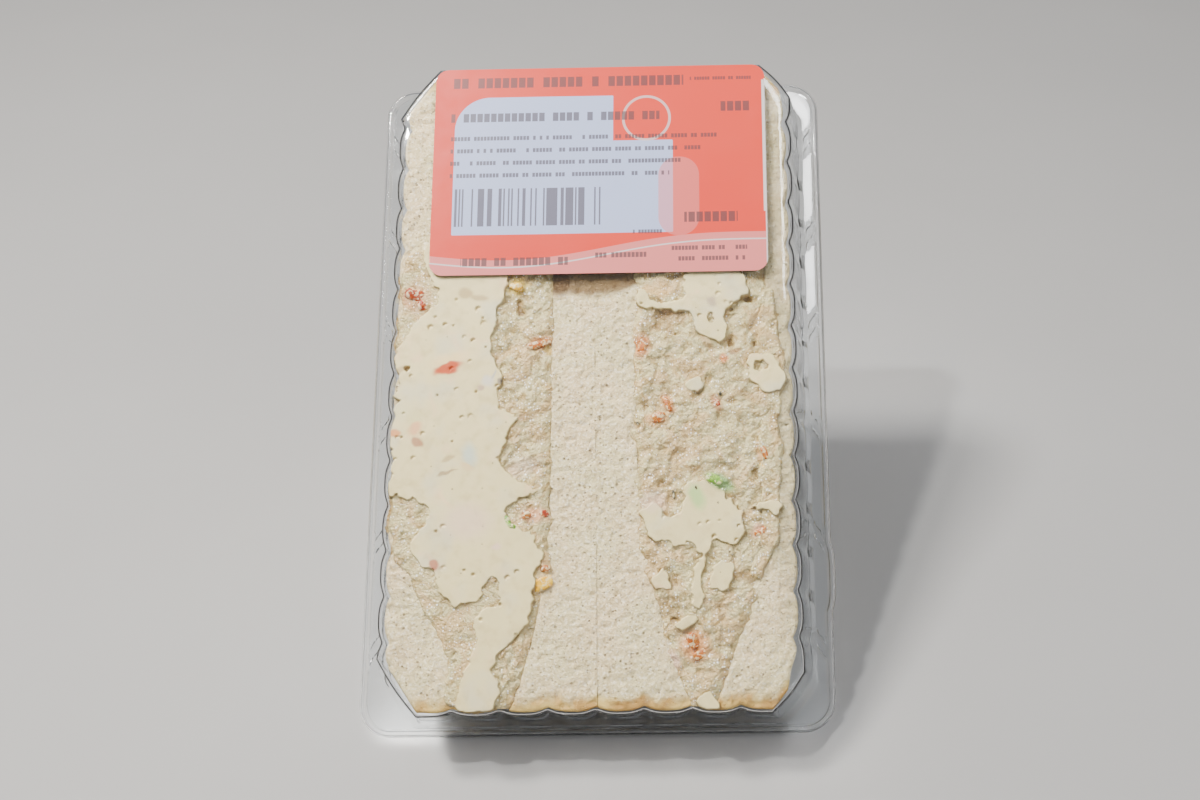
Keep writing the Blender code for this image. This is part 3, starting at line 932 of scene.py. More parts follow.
@dataclass(frozen=True)
class FlutedOutline:
    """The window's and the rim's outlines, which share one run of points from side to side."""

    chamfer_left: tuple[float, float] = (8.8 * MM, 12.0 * MM)
    chamfer_right: tuple[float, float] = (7.0 * MM, 8.2 * MM)
    bulge: float = 0.5 * MM
    flute_depth: float = 0.95 * MM
    side_pitch: float = 9.65 * MM
    side_first: float = -56.6 * MM
    side_count: int = 13
    end_pitch: float = 10.0 * MM
    end_first: float = -28.7 * MM
    end_count: int = 7
    corner_steps: int = 12
    point_pitch: float = 0.68 * MM
    tab_centre: float = -42.5 * MM
    tab_length: float = 15.0 * MM
    tab_reach: float = 0.8 * MM

    def steps(self, side: Side) -> int:
        """Return how many steps a side is divided into."""
        long_side = side in (Side.RIGHT, Side.LEFT)
        length = PACK.window_high - PACK.window_low if long_side else 2.0 * PACK.window_half
        return round((length - 2.0 * self.chamfer_right[1]) / self.point_pitch)

    def notch(self, side: Side, points: Points) -> Points:
        """Return how far the flutes push a side's points inward, as a share of their depth.

        Args:
            side: The side.
            points: Rows that start with u and v.

        Returns:
            One share for each point.
        """
        if side in (Side.RIGHT, Side.LEFT):
            line, first, pitch, count = points[:, 1], self.side_first, self.side_pitch, self.side_count
        else:
            line, first, pitch, count = points[:, 0], self.end_first, self.end_pitch, self.end_count
        index = (line - first) / pitch
        inside = (index > -0.5) & (index < count - 0.5)
        return np.where(inside, (1.0 - np.abs(np.sin(math.pi * index))) ** 1.5, 0.0)

    def join(self, runs: Sequence[Points], flute: float) -> Points:
        """Join four corner runs by divided sides.

        Args:
            runs: The corner runs, from the lower right one counter-clockwise.
            flute: The flutes' depth on this outline.

        Returns:
            The whole ring, as rows of u and v.
        """
        parts = []
        for side in Side:
            run, following = runs[side.value], runs[(side.value + 1) % 4]
            count = self.steps(side)
            shares = np.linspace(0.0, 1.0, count + 1)[1:-1, None]
            line = run[-1] + (following[0] - run[-1]) * shares
            along = (following[0] - run[-1]) / np.linalg.norm(following[0] - run[-1])
            inward = np.array([-along[1], along[0]])
            line = line + inward * (flute * self.notch(side, line))[:, None]
            parts.extend([run, line])
        return np.concatenate(parts)

    def chamfer(self, start: Sequence[float], end: Sequence[float]) -> Points:
        """Return one chamfer's points, bulged a little outward."""
        first, last = np.array(start), np.array(end)
        along = (last - first) / np.linalg.norm(last - first)
        outward = np.array([along[1], -along[0]])
        shares = np.linspace(0.0, 1.0, self.corner_steps + 1)[:, None]
        return first + (last - first) * shares + outward * self.bulge * np.sin(math.pi * shares)

    def window(self, side: float = 0.0, head: float = 0.0, foot: float = 0.0, flute: float = 1.0) -> Points:
        """Return the window's outline, grown on its sides, head and foot.

        Args:
            side: How far the sides grow.
            head: How far the head grows.
            foot: How far the foot grows.
            flute: The flutes' share of their depth.

        Returns:
            The ring, as rows of u and v.
        """
        half, low, high = PACK.window_half + side, PACK.window_low - foot, PACK.window_high + head
        (left_x, left_y), (right_x, right_y) = self.chamfer_left, self.chamfer_right
        runs = [
            self.chamfer((half - right_x, low), (half, low + right_y)),
            self.chamfer((half, high - right_y), (half - right_x, high)),
            self.chamfer((-half + left_x, high), (-half, high - left_y)),
            self.chamfer((-half, low + left_y), (-half + left_x, low)),
        ]
        return self.join(runs, flute * self.flute_depth)

    def rim(self, inset: float) -> Points:
        """Return the flange's outline, moved inward by the inset.

        Args:
            inset: How far it moves.

        Returns:
            The ring, as rows of u and v.
        """
        half, end = 0.5 * PACK.rim_width - inset, 0.5 * PACK.rim_length - inset
        runs = corner_runs((-half, half, -end, end), PACK.rim_corner - inset, self.corner_steps)
        ring = self.join(runs, 0.0)
        reach = np.abs(ring[:, 1] - self.tab_centre) / (0.5 * self.tab_length)
        on_tab = (ring[:, 0] > 0.0) & (reach < 1.0)
        out = np.where(on_tab, self.tab_reach * (1.0 - np.minimum(reach, 1.0) ** 4), 0.0)
        return ring + np.stack([out, np.zeros(len(ring))], axis=1)


def lifted(ring: Points, w: float | Points) -> Points:
    """Return a ring of u and v with its height added."""
    return np.concatenate([ring, np.full((len(ring), 1), w) if np.isscalar(w) else w[:, None]], axis=1)


@dataclass
class Lid:
    """The clear lid: a fluted raised window, a ribbed flange, a bead and a skirt."""

    material: Material
    outline: FlutedOutline = field(default_factory=FlutedOutline)
    sheet: float = 0.45 * MM
    side_draft: float = 2.4 * MM
    head_draft: float = 0.5 * MM
    foot_draft: float = 1.2 * MM
    wall_rows: int = 9
    flange_rows: int = 9
    window_sag: float = 0.05 * MM
    rib_height: float = 0.55 * MM
    rib_half_width: float = 0.75 * MM
    rib_spacing: float = 3.2 * MM
    rib_slope: float = 1.35
    rib_start: float = 46.9 * MM
    wall_flare: float = 0.9 * MM
    rib_places: tuple[float, ...] = (56.5 * MM, 33.1 * MM, 10.5 * MM, -7.0 * MM, -31.9 * MM, -55.8 * MM)

    def window_rings(self) -> list[Points]:
        """Return the rings across the nearly flat window and round its top edge."""
        rings = []
        flat = self.outline.window(-3.0 * MM, -3.0 * MM, -3.0 * MM, 0.0)
        grain = GrainField(5)
        for share in (0.08, 0.25, 0.42, 0.6, 0.78, 0.92, 1.0):
            ring = lifted(flat * share, PACK.window_height)
            ring[:, 2] += self.window_sag * (grain.at(ring, 24.0 * MM) - 0.4) * (1.0 - share ** 6)
            rings.append(ring)
        radius = PACK.window_edge
        for turn in np.linspace(0.0, 0.5 * math.pi, 6):
            inset = radius * (1.0 - math.sin(turn))
            ring = self.outline.window(-inset, -inset, -inset, 1.0)
            rings.append(lifted(ring, PACK.window_height - radius * (1.0 - math.cos(turn))))
        return rings

    def wall_rings(self) -> list[Points]:
        """Return the rings down the drafted, fluted wall and out into the flange."""
        rings = []
        top, foot = PACK.window_height - PACK.window_edge, PACK.flange_top
        for share in np.linspace(0.0, 1.0, self.wall_rows + 1)[1:]:
            flare = self.wall_flare * share ** 14
            drafts = (self.side_draft, self.head_draft, self.foot_draft)
            grown = [draft * share + flare for draft in drafts]
            ring = self.outline.window(*grown, 1.0 - 0.75 * share ** 6)
            rings.append(lifted(ring, top + (foot - top) * share))
        return rings

    def rib_relief(self, ring: Points) -> Points:
        """Return the height of the slanting rib pairs on the two long flanges.

        Args:
            ring: Rows of u and v.

        Returns:
            One height for each point.
        """
        across = np.abs(ring[:, 0]) - self.rib_start
        on_flange = smoothstep(-0.2 * MM, 0.6 * MM, across) * (1.0 - smoothstep(2.9 * MM, 3.7 * MM, across))
        relief = np.zeros(len(ring))
        for place in self.rib_places:
            slope = self.rib_slope if place > 0.0 else -self.rib_slope
            for step in (0.0, self.rib_spacing):
                away = np.abs(ring[:, 1] - place - step - slope * across) / math.hypot(1.0, slope)
                rise = 1.0 - smoothstep(0.2 * self.rib_half_width, self.rib_half_width, away)
                relief = np.maximum(relief, rise)
        return self.rib_height * relief * on_flange

    def flange_rings(self) -> list[Points]:
        """Return the rings across the flange, over the bead and down the skirt."""
        rings = []
        inner = self.outline.window(
            self.side_draft + self.wall_flare, self.head_draft + 0.5 * MM, self.foot_draft + 0.6 * MM, 0.0
        )
        outer = self.outline.rim(1.9 * MM)
        for share in np.linspace(0.0, 1.0, self.flange_rows + 1)[1:]:
            ring = inner + (outer - inner) * share
            rings.append(lifted(ring, PACK.flange_top + self.rib_relief(ring)))
        for turn in np.linspace(0.0, math.pi, 9)[1:]:
            inset = 0.95 * MM + 0.8 * MM * math.cos(turn)
            rise = (PACK.bead_top - PACK.flange_top) * math.sin(turn) ** 0.8
            rings.append(lifted(self.outline.rim(inset), PACK.flange_top + rise))
        for w, inset in ((0.2 * MM, 0.08 * MM), (-0.9 * MM, 0.04 * MM), (PACK.skirt_bottom, 0.0)):
            rings.append(lifted(self.outline.rim(inset), w))
        return rings

    def build(self) -> Item:
        """Build and dress the lid."""
        rings = self.window_rings() + self.wall_rings() + self.flange_rings()
        item = grow_sheet("lid_sheet", np.array(rings), self.sheet)
        finish_piece(item, self.material, ["lid"], 50.0)
        return item


@dataclass
class Tray:
    """The clear tray: a narrow heel, two slanting walls and a flange inside the lid's skirt."""

    material: Material
    sheet: float = 0.45 * MM
    mouth_half: float = 45.6 * MM
    floor_half: float = 43.3 * MM
    corner: float = 3.0 * MM
    wall_top: float = -0.9 * MM
    flange_inset: float = 1.2 * MM
    corner_steps: int = 8
    side_steps: int = 40
    wall_rows: int = 24

    def ring(self, w: float, grow: float = 0.0) -> Points:
        """Return one level of the cup's outside.

        Args:
            w: The level.
            grow: How far it grows outward.

        Returns:
            The ring, as rows of u, v and w.
        """
        share = min(1.0, max(0.0, -w / PACK.leg_offset))
        half = self.mouth_half + (self.floor_half - self.mouth_half) * share + PACK.wall + grow
        leg = PACK.leg_offset + w
        low = PACK.cut_centre - leg - math.sqrt(2.0) * (PACK.tray_lower_gap + PACK.wall) - grow
        high = PACK.cut_centre + leg + math.sqrt(2.0) * (PACK.tray_upper_gap + PACK.wall) + grow
        return lifted(self.rounded((-half, half, low, high), self.corner), w)

    def rounded(self, box: Sequence[float], radius: float) -> Points:
        """Return a rounded box with evenly divided sides.

        Args:
            box: Its left, right, low and high.
            radius: Its corners' radius.

        Returns:
            The ring, as rows of u and v.
        """
        runs = corner_runs(box, radius, self.corner_steps)
        parts = []
        for index, run in enumerate(runs):
            start, end = run[-1], runs[(index + 1) % 4][0]
            shares = np.linspace(0.0, 1.0, self.side_steps + 1)[1:-1, None]
            parts.extend([run, start + (end - start) * shares])
        return np.concatenate(parts)

    def build(self) -> Item:
        """Build and dress the tray.

        Returns:
            The piece.
        """
        edge = PACK.tray_edge
        floor = PACK.tray_floor
        rings = [lifted(self.ring(floor, -edge)[:, :2] * share, floor) for share in (0.3, 0.7)]
        for turn in np.linspace(0.0, 0.5 * math.pi, 5):
            level = floor + 0.5 * edge * (1.0 - math.cos(turn))
            rings.append(self.ring(level, edge * (math.sin(turn) - 1.0)))
        top = self.wall_top
        for share in np.linspace(0.0, 1.0, self.wall_rows + 1)[1:]:
            rings.append(self.ring(floor + 0.5 * edge + (top - floor - 0.5 * edge) * share))
        half = 0.5 * PACK.rim_width - self.flange_inset
        end = 0.5 * PACK.rim_length - self.flange_inset
        rim = lifted(self.rounded((-half, half, -end, end), PACK.rim_corner - self.flange_inset), top)
        rings.append(0.5 * (rings[-1] + rim))
        rings.append(rim)
        item = grow_sheet("tray_sheet", np.array(rings)[:, ::-1], self.sheet)
        finish_piece(item, self.material, ["tray"], 50.0)
        return item


class Face(Enum):
    """The faces that part the sandwich's layers, from the left of the window to its right."""

    PACK_LEFT = 0
    LEFT_OUTER = 1
    LEFT_INNER = 2
    SEAM = 3
    RIGHT_INNER = 4
    RIGHT_OUTER = 5
    PACK_RIGHT = 6


@dataclass(frozen=True)
class SandwichForm:
    """The outline of the half sandwiches and the faces between their layers."""

    stack_half: float = 42.75 * MM
    chamfer_clearance: float = 1.3 * MM
    crust_rounding: float = 3.0 * MM
    pressed: tuple[float, float] = (4.0 * MM, 15.0 * MM)
    outline: FlutedOutline = field(default_factory=FlutedOutline)

    def half_length(self, depth: Points) -> Points:
        """Return the half length of a slice, along the cut, at a depth behind the cut.

        Args:
            depth: How far behind the cut.

        Returns:
            One half length for each depth.
        """
        radius = PACK.slice_corner
        centre = PACK.half_diagonal - math.sqrt(2.0) * radius
        tangent = radius * math.sin(0.25 * math.pi)
        near = centre + np.sqrt(np.maximum(0.0, radius ** 2 - depth ** 2))
        tip = np.sqrt(np.maximum(0.0, radius ** 2 - (depth - centre) ** 2))
        straight = PACK.half_diagonal - depth
        return np.where(depth <= tangent, near, np.where(depth <= centre + tangent, straight, tip))

    def near_top(self, depth: Points) -> Points:
        """Return 1 where the lid's wall presses on the food, fading to 0 with the depth."""
        return 1.0 - smoothstep(*self.pressed, depth)

    def crust_share(self, v: Points, depth: Points) -> Points:
        """Return 0 at the middle of the cut and 1 at the crust."""
        reach = np.abs(v - PACK.cut_centre) + 0.92 * np.maximum(0.0, depth)
        return np.minimum(1.0, reach / PACK.cut_half)

    def pack_side(self, v: Points, depth: Points, side: int) -> Points:
        """Return the stack's outer face, which follows the pack's side and its chamfers."""
        width, length = self.outline.chamfer_left if side < 0 else self.outline.chamfer_right
        past = np.maximum(v - (PACK.window_high - length), (PACK.window_low + length) - v)
        chamfer = PACK.window_half - self.chamfer_clearance - past * width / length
        soft = self.stack_half - self.crust_rounding * self.crust_share(v, depth) ** 12
        return side * np.minimum(chamfer, soft)

    def face(self, which: Face, v: Points, depth: Points) -> Points:
        """Return a face's u at each v and depth.

        Args:
            which: The face.
            v: Up the window.
            depth: How far behind the cut.

        Returns:
            The face's u.
        """
        share = self.crust_share(v, depth)
        if which is Face.PACK_LEFT:
            return self.pack_side(v, depth, -1)
        if which is Face.PACK_RIGHT:
            return self.pack_side(v, depth, 1)
        if which is Face.SEAM:
            return 0.35 * MM - 0.017 * v
        start, change, power = {
            Face.LEFT_OUTER: (-36.0, 13.5, 2.2),
            Face.LEFT_INNER: (-9.4, -7.6, 4.0),
            Face.RIGHT_INNER: (9.6, 12.6, 2.8),
            Face.RIGHT_OUTER: (38.6, -13.2, 2.6),
        }[which]
        return (start + change * share ** power) * MM


@dataclass(frozen=True)
class Spot:
    """A soft-edged patch of a display colour: bits under or in the dressing, and painted shade on the bread.
    """

    u: float
    v: float
    half_u: float
    half_v: float
    angle: float
    colour: tuple[int, int, int]
    strength: float = 0.9
    softness: float = 0.35

    def cover(self, u: Points, v: Points) -> Points:
        """Return how strongly the spot covers some points, which are given in metres.

        Args:
            u: Across the window.
            v: Up the window.

        Returns:
            One strength for each point.
        """
        turn = math.radians(self.angle)
        across, along = u / MM - self.u, v / MM - self.v
        first = (across * math.cos(turn) + along * math.sin(turn)) / self.half_u
        second = (-across * math.sin(turn) + along * math.cos(turn)) / self.half_v
        reach = np.hypot(first, second)
        return self.strength * (1.0 - smoothstep(1.0 - self.softness, 1.0 + self.softness, reach))


def spot_tint(spots: Sequence[Spot], u: Points, v: Points) -> Points:
    """Return the spots' colours and strengths at some points, as rows of four.

    Args:
        spots: The spots.
        u: Across the window.
        v: Up the window.

    Returns:
        Rows of red, green, blue and strength.
    """
    tint = np.zeros((len(u), 4))
    grain = GrainField(3)
    wander = 0.35 * MM * grain.at(np.stack([u, v, u * 0.0], axis=1), 1.3 * MM)
    for spot in spots:
        cover = spot.cover(u + wander, v - wander)
        stronger = cover > tint[:, 3]
        tint[stronger, :3] = linear(*spot.colour)
        tint[stronger, 3] = cover[stronger]
    return tint


@dataclass
class BreadSlice:
    """One half slice of bread: a porous cut face, soft crumb sides and two crusted legs."""

    name: str
    faces: tuple[Face, Face]
    material: Material
    form: SandwichForm
    seed: int
    across: int
    along: int = 400
    rows: int = 64
    edge: float = 0.35 * MM
    gap: float = 0.1 * MM
    pore_depth: float = 0.26 * MM
    foot_swell: float = 1.1 * MM
    side_swell: float = 1.05 * MM
    spots: tuple[Spot, ...] = ()

    @property
    def outer(self) -> bool:
        """Say whether the slice lies against the pack's side."""
        return Face.PACK_LEFT in self.faces or Face.PACK_RIGHT in self.faces

    def build(self) -> Item:
        """Build and dress the slice.

        Returns:
            The piece.
        """
        item = grow_block(self.name + "_bread", self.across, self.along, self.rows)
        across, along, drop = points_of(item).T
        front = drop > -HAIR
        deepest = PACK.cut_half - 0.3 * MM
        depth = np.where(front, 0.0, self.edge + (deepest - self.edge) * np.abs(drop) ** 1.25)
        half = self.form.half_length(depth)
        v = PACK.cut_centre + half * along
        opened = smoothstep(30.0 * MM, 72.0 * MM, -v)
        gaps = [self.gap * (0.5 * opened if face is Face.SEAM else 1.0) for face in self.faces]
        low = self.form.face(self.faces[0], v, depth) + gaps[0]
        high = self.form.face(self.faces[1], v, depth) - gaps[1]
        u = low + (high - low) * 0.5 * (across + 1.0)
        grain = GrainField(self.seed)
        spots = np.stack([u, v, -depth], axis=1)
        closed = [2.2 * self.edge * (1.0 - 0.6 * opened) * (face is Face.SEAM) for face in self.faces]
        to_side = np.minimum(u - low + closed[0], high - u + closed[1])
        to_edge = np.minimum(to_side, half * (1.0 - np.abs(along)))
        round_share = 1.0 - np.clip(to_edge / (2.2 * self.edge), 0.0, 1.0)
        sink = self.edge * (1.0 - np.sqrt(np.maximum(0.0, 1.0 - round_share ** 2)))
        pores = smoothstep(0.25, 0.8, grain.at(spots, 1.15 * MM))
        pores = pores + 0.6 * smoothstep(0.35, 0.85, grain.at(spots, 2.3 * MM))
        waves = 0.22 * MM * grain.at(spots, 7.0 * MM) + 0.1 * MM * grain.at(spots, 0.8 * MM)
        w = np.where(front, PACK.cut_height - sink - self.pore_depth * pores + waves, PACK.cut_height - depth)
        near_top = self.form.near_top(depth)
        flutes = self.form.outline.notch(Side.FOOT, np.stack([u, v], axis=1))
        v = v - self.foot_swell * (1.0 - 0.9 * flutes) * near_top * smoothstep(0.8, 1.0, -along)
        if self.outer:
            outward = -1.0 if self.faces[0] is Face.PACK_LEFT else 1.0
            toward = smoothstep(0.0, 1.0, outward * across)
            notch = self.form.outline.notch(Side.RIGHT, np.stack([u, v], axis=1))
            press = self.side_swell * (1.0 - notch) * smoothstep(-64.0 * MM, -58.0 * MM, v)
            u = u + outward * near_top * toward * press
        from_crust = half * (1.0 - np.abs(along)) * math.sqrt(0.5)
        if self.faces[1] is Face.PACK_RIGHT:
            wall = high - u
            end = np.minimum(v - PACK.window_low, PACK.window_high - v)
            past = 1.0 - smoothstep(6.0 * MM, 9.0 * MM, end)
            from_crust = np.minimum(from_crust, wall + 0.3 * MM + 9.0 * MM * (1.0 - past))
        side = np.sign(across) * (np.abs(across) > 1.0 - HAIR)
        rough = 0.12 * MM * grain.at(spots, 1.1 * MM) - 0.16 * MM * pores
        u = u + np.where(front, 0.0, side * np.minimum(rough, 0.05 * MM))
        crust = np.abs(along) > 1.0 - HAIR
        wrinkle = 0.12 * MM * grain.at(spots, 5.0 * MM) - 0.05 * MM
        v = v + np.where(crust, np.sign(along) * wrinkle, 0.0)
        move_points(item, np.stack([u, v, w], axis=1))
        add_mask(item, "from_crust", from_crust / MM)
        # The tint holds the slice's spots, which paint shade on the cut face.
        add_tint(item, "tint", spot_tint(self.spots, u, v) * np.where(front, 1.0, 0.0)[:, None])
        finish_piece(item, self.material, [self.name], 60.0)
        return item


@dataclass
class SaladLayer:
    """One layer of chicken salad: lumps and shreds with creases, spilling a little over the bread."""

    name: str
    faces: tuple[Face, Face]
    material: Material
    form: SandwichForm
    seed: int
    across: int = 92
    along: int = 440
    rows: int = 26
    gap: float = 0.05 * MM
    base: float = 15.6 * MM
    lid_level: float = 17.35 * MM
    spill: float = 1.6 * MM
    lump_height: float = 1.85 * MM
    hole_depth: float = 0.7 * MM
    ceiling_blend: float = 0.25 * MM
    foot_swell: float = 0.3 * MM
    spots: tuple[Spot, ...] = ()

    def relief(self, u: Points, v: Points) -> Points:
        """Return the height of the salad's face above its deepest creases.

        Args:
            u: Across the window.
            v: Up the window.

        Returns:
            One height for each point.
        """
        grain = GrainField(self.seed)
        flat = np.stack([u, v, u * 0.0], axis=1)
        bent_u = u + 1.2 * MM * grain.at(flat, 5.0 * MM)
        bent_v = v + 1.2 * MM * grain.at(flat + 0.05, 5.0 * MM)
        big, level = LumpField(4.4 * MM, self.seed + 1, 1.2).at(bent_u, bent_v)
        small, small_level = LumpField(1.7 * MM, self.seed + 2, 0.85).at(bent_u, bent_v)
        tiny, _ = LumpField(0.8 * MM, self.seed + 3).at(u, v)
        height = 0.58 * big * (0.3 + 0.7 * level) + 0.34 * small * (0.2 + 0.8 * small_level) + 0.16 * tiny
        height += 0.24 * grain.at(flat, 3.4 * MM) + 0.13 * grain.at(flat, 1.3 * MM)
        holes = smoothstep(0.5, 0.72, grain.at(flat + 0.11, 2.6 * MM))
        fine = 0.12 * MM * grain.at(flat, 0.55 * MM)
        return self.lump_height * height - self.hole_depth * holes + fine

    def build(self) -> Item:
        """Build and dress the layer.

        Returns:
            The piece.
        """
        item = grow_block(self.name + "_salad", self.across, self.along, self.rows)
        across, along, drop = points_of(item).T
        front = drop > -HAIR
        first_row = 1.0 * MM
        deepest = PACK.cut_half - 2.4 * MM
        depth = np.where(front, 0.0, first_row + (deepest - first_row) * np.abs(drop) ** 1.4)
        half = self.form.half_length(depth) * np.where(front, 1.0, 0.99)
        near_top = self.form.near_top(depth)
        v = PACK.cut_centre + half * along - self.foot_swell * near_top * smoothstep(0.8, 1.0, -along)
        grain = GrainField(self.seed + 7)
        fade = np.where(front, 1.0, np.exp(-(depth - first_row) / (0.8 * MM)) * 0.15)
        spills = []
        for row in (1.0, 9.0):
            ragged = 0.15 + 0.55 * grain.along(v, 6.0 * MM, row) + 0.4 * grain.along(v, 2.1 * MM, row + 2.0)
            ragged = ragged + 0.2 * grain.along(v, 0.9 * MM, row + 4.0)
            spills.append(self.spill * (0.3 + np.clip(ragged, -0.1, 1.1)) * fade)
        low = self.form.face(self.faces[0], v, depth) + self.gap - spills[0]
        high = self.form.face(self.faces[1], v, depth) - self.gap + spills[1]
        u = low + (high - low) * 0.5 * (across + 1.0)
        to_edge = np.minimum(np.minimum(u - low, high - u), half * (1.0 - np.abs(along)))
        relief = self.relief(u, v)
        crown = self.base + relief
        blend = self.ceiling_blend
        crown = self.lid_level - blend * np.log1p(np.exp((self.lid_level - crown) / blend))
        shoulder = np.clip(to_edge / (1.7 * MM), 0.0, 1.0) ** 0.85
        brim = PACK.cut_height - 0.55 * MM + 0.3 * relief
        top = brim + (crown - brim) * shoulder
        lumps = 0.35 * MM * grain.at(np.stack([u, v, -depth], axis=1), 3.0 * MM)
        w = np.where(front, top, PACK.cut_height - depth + lumps * 0.3)
        legs = (np.abs(along) > 1.0 - HAIR) & ~front
        v = v + np.where(legs, np.sign(along) * (lumps * 1.6 - 0.3 * MM), 0.0)
        move_points(item, np.stack([u, v, w], axis=1))
        # The hollow mask paints shade: depth below HOLLOW_TOP on the front, a middling random share behind.
        behind = 0.3 + 0.4 * grain.at(np.stack([u, v, w], axis=1), 2.0 * MM)
        hollow = np.where(front, (HOLLOW_TOP - w) / HOLLOW_REACH, behind)
        add_mask(item, "hollow", np.clip(hollow, 0.0, 1.0))
        add_tint(item, "tint", spot_tint(self.spots, u, v) * np.where(front, 1.0, 0.0)[:, None])
        finish_piece(item, self.material, [self.name], 80.0)
        return item


@dataclass(frozen=True)
class FilmPatch:
    """One patch of dressing: rows of v with the left and right edges, and round bites, in millimetres."""

    rows: tuple[tuple[float, float, float], ...]
    bites: tuple[tuple[float, float, float, float], ...] = ()

    def inside(self, u: Points, v: Points) -> Points:
        """Return where the patch covers a raster of u and v, in millimetres.

        Args:
            u: Across the window.
            v: Up the window.

        Returns:
            True where it covers.
        """
        heights = [row[0] for row in self.rows]
        left = np.interp(v, heights, [row[1] for row in self.rows])
        right = np.interp(v, heights, [row[2] for row in self.rows])
        cover = (v > heights[0]) & (v < heights[-1]) & (u > left) & (u < right)
        for centre_u, centre_v, half_u, half_v in self.bites:
            cover &= np.hypot((u - centre_u) / half_u, (v - centre_v) / half_v) > 1.0
        return cover


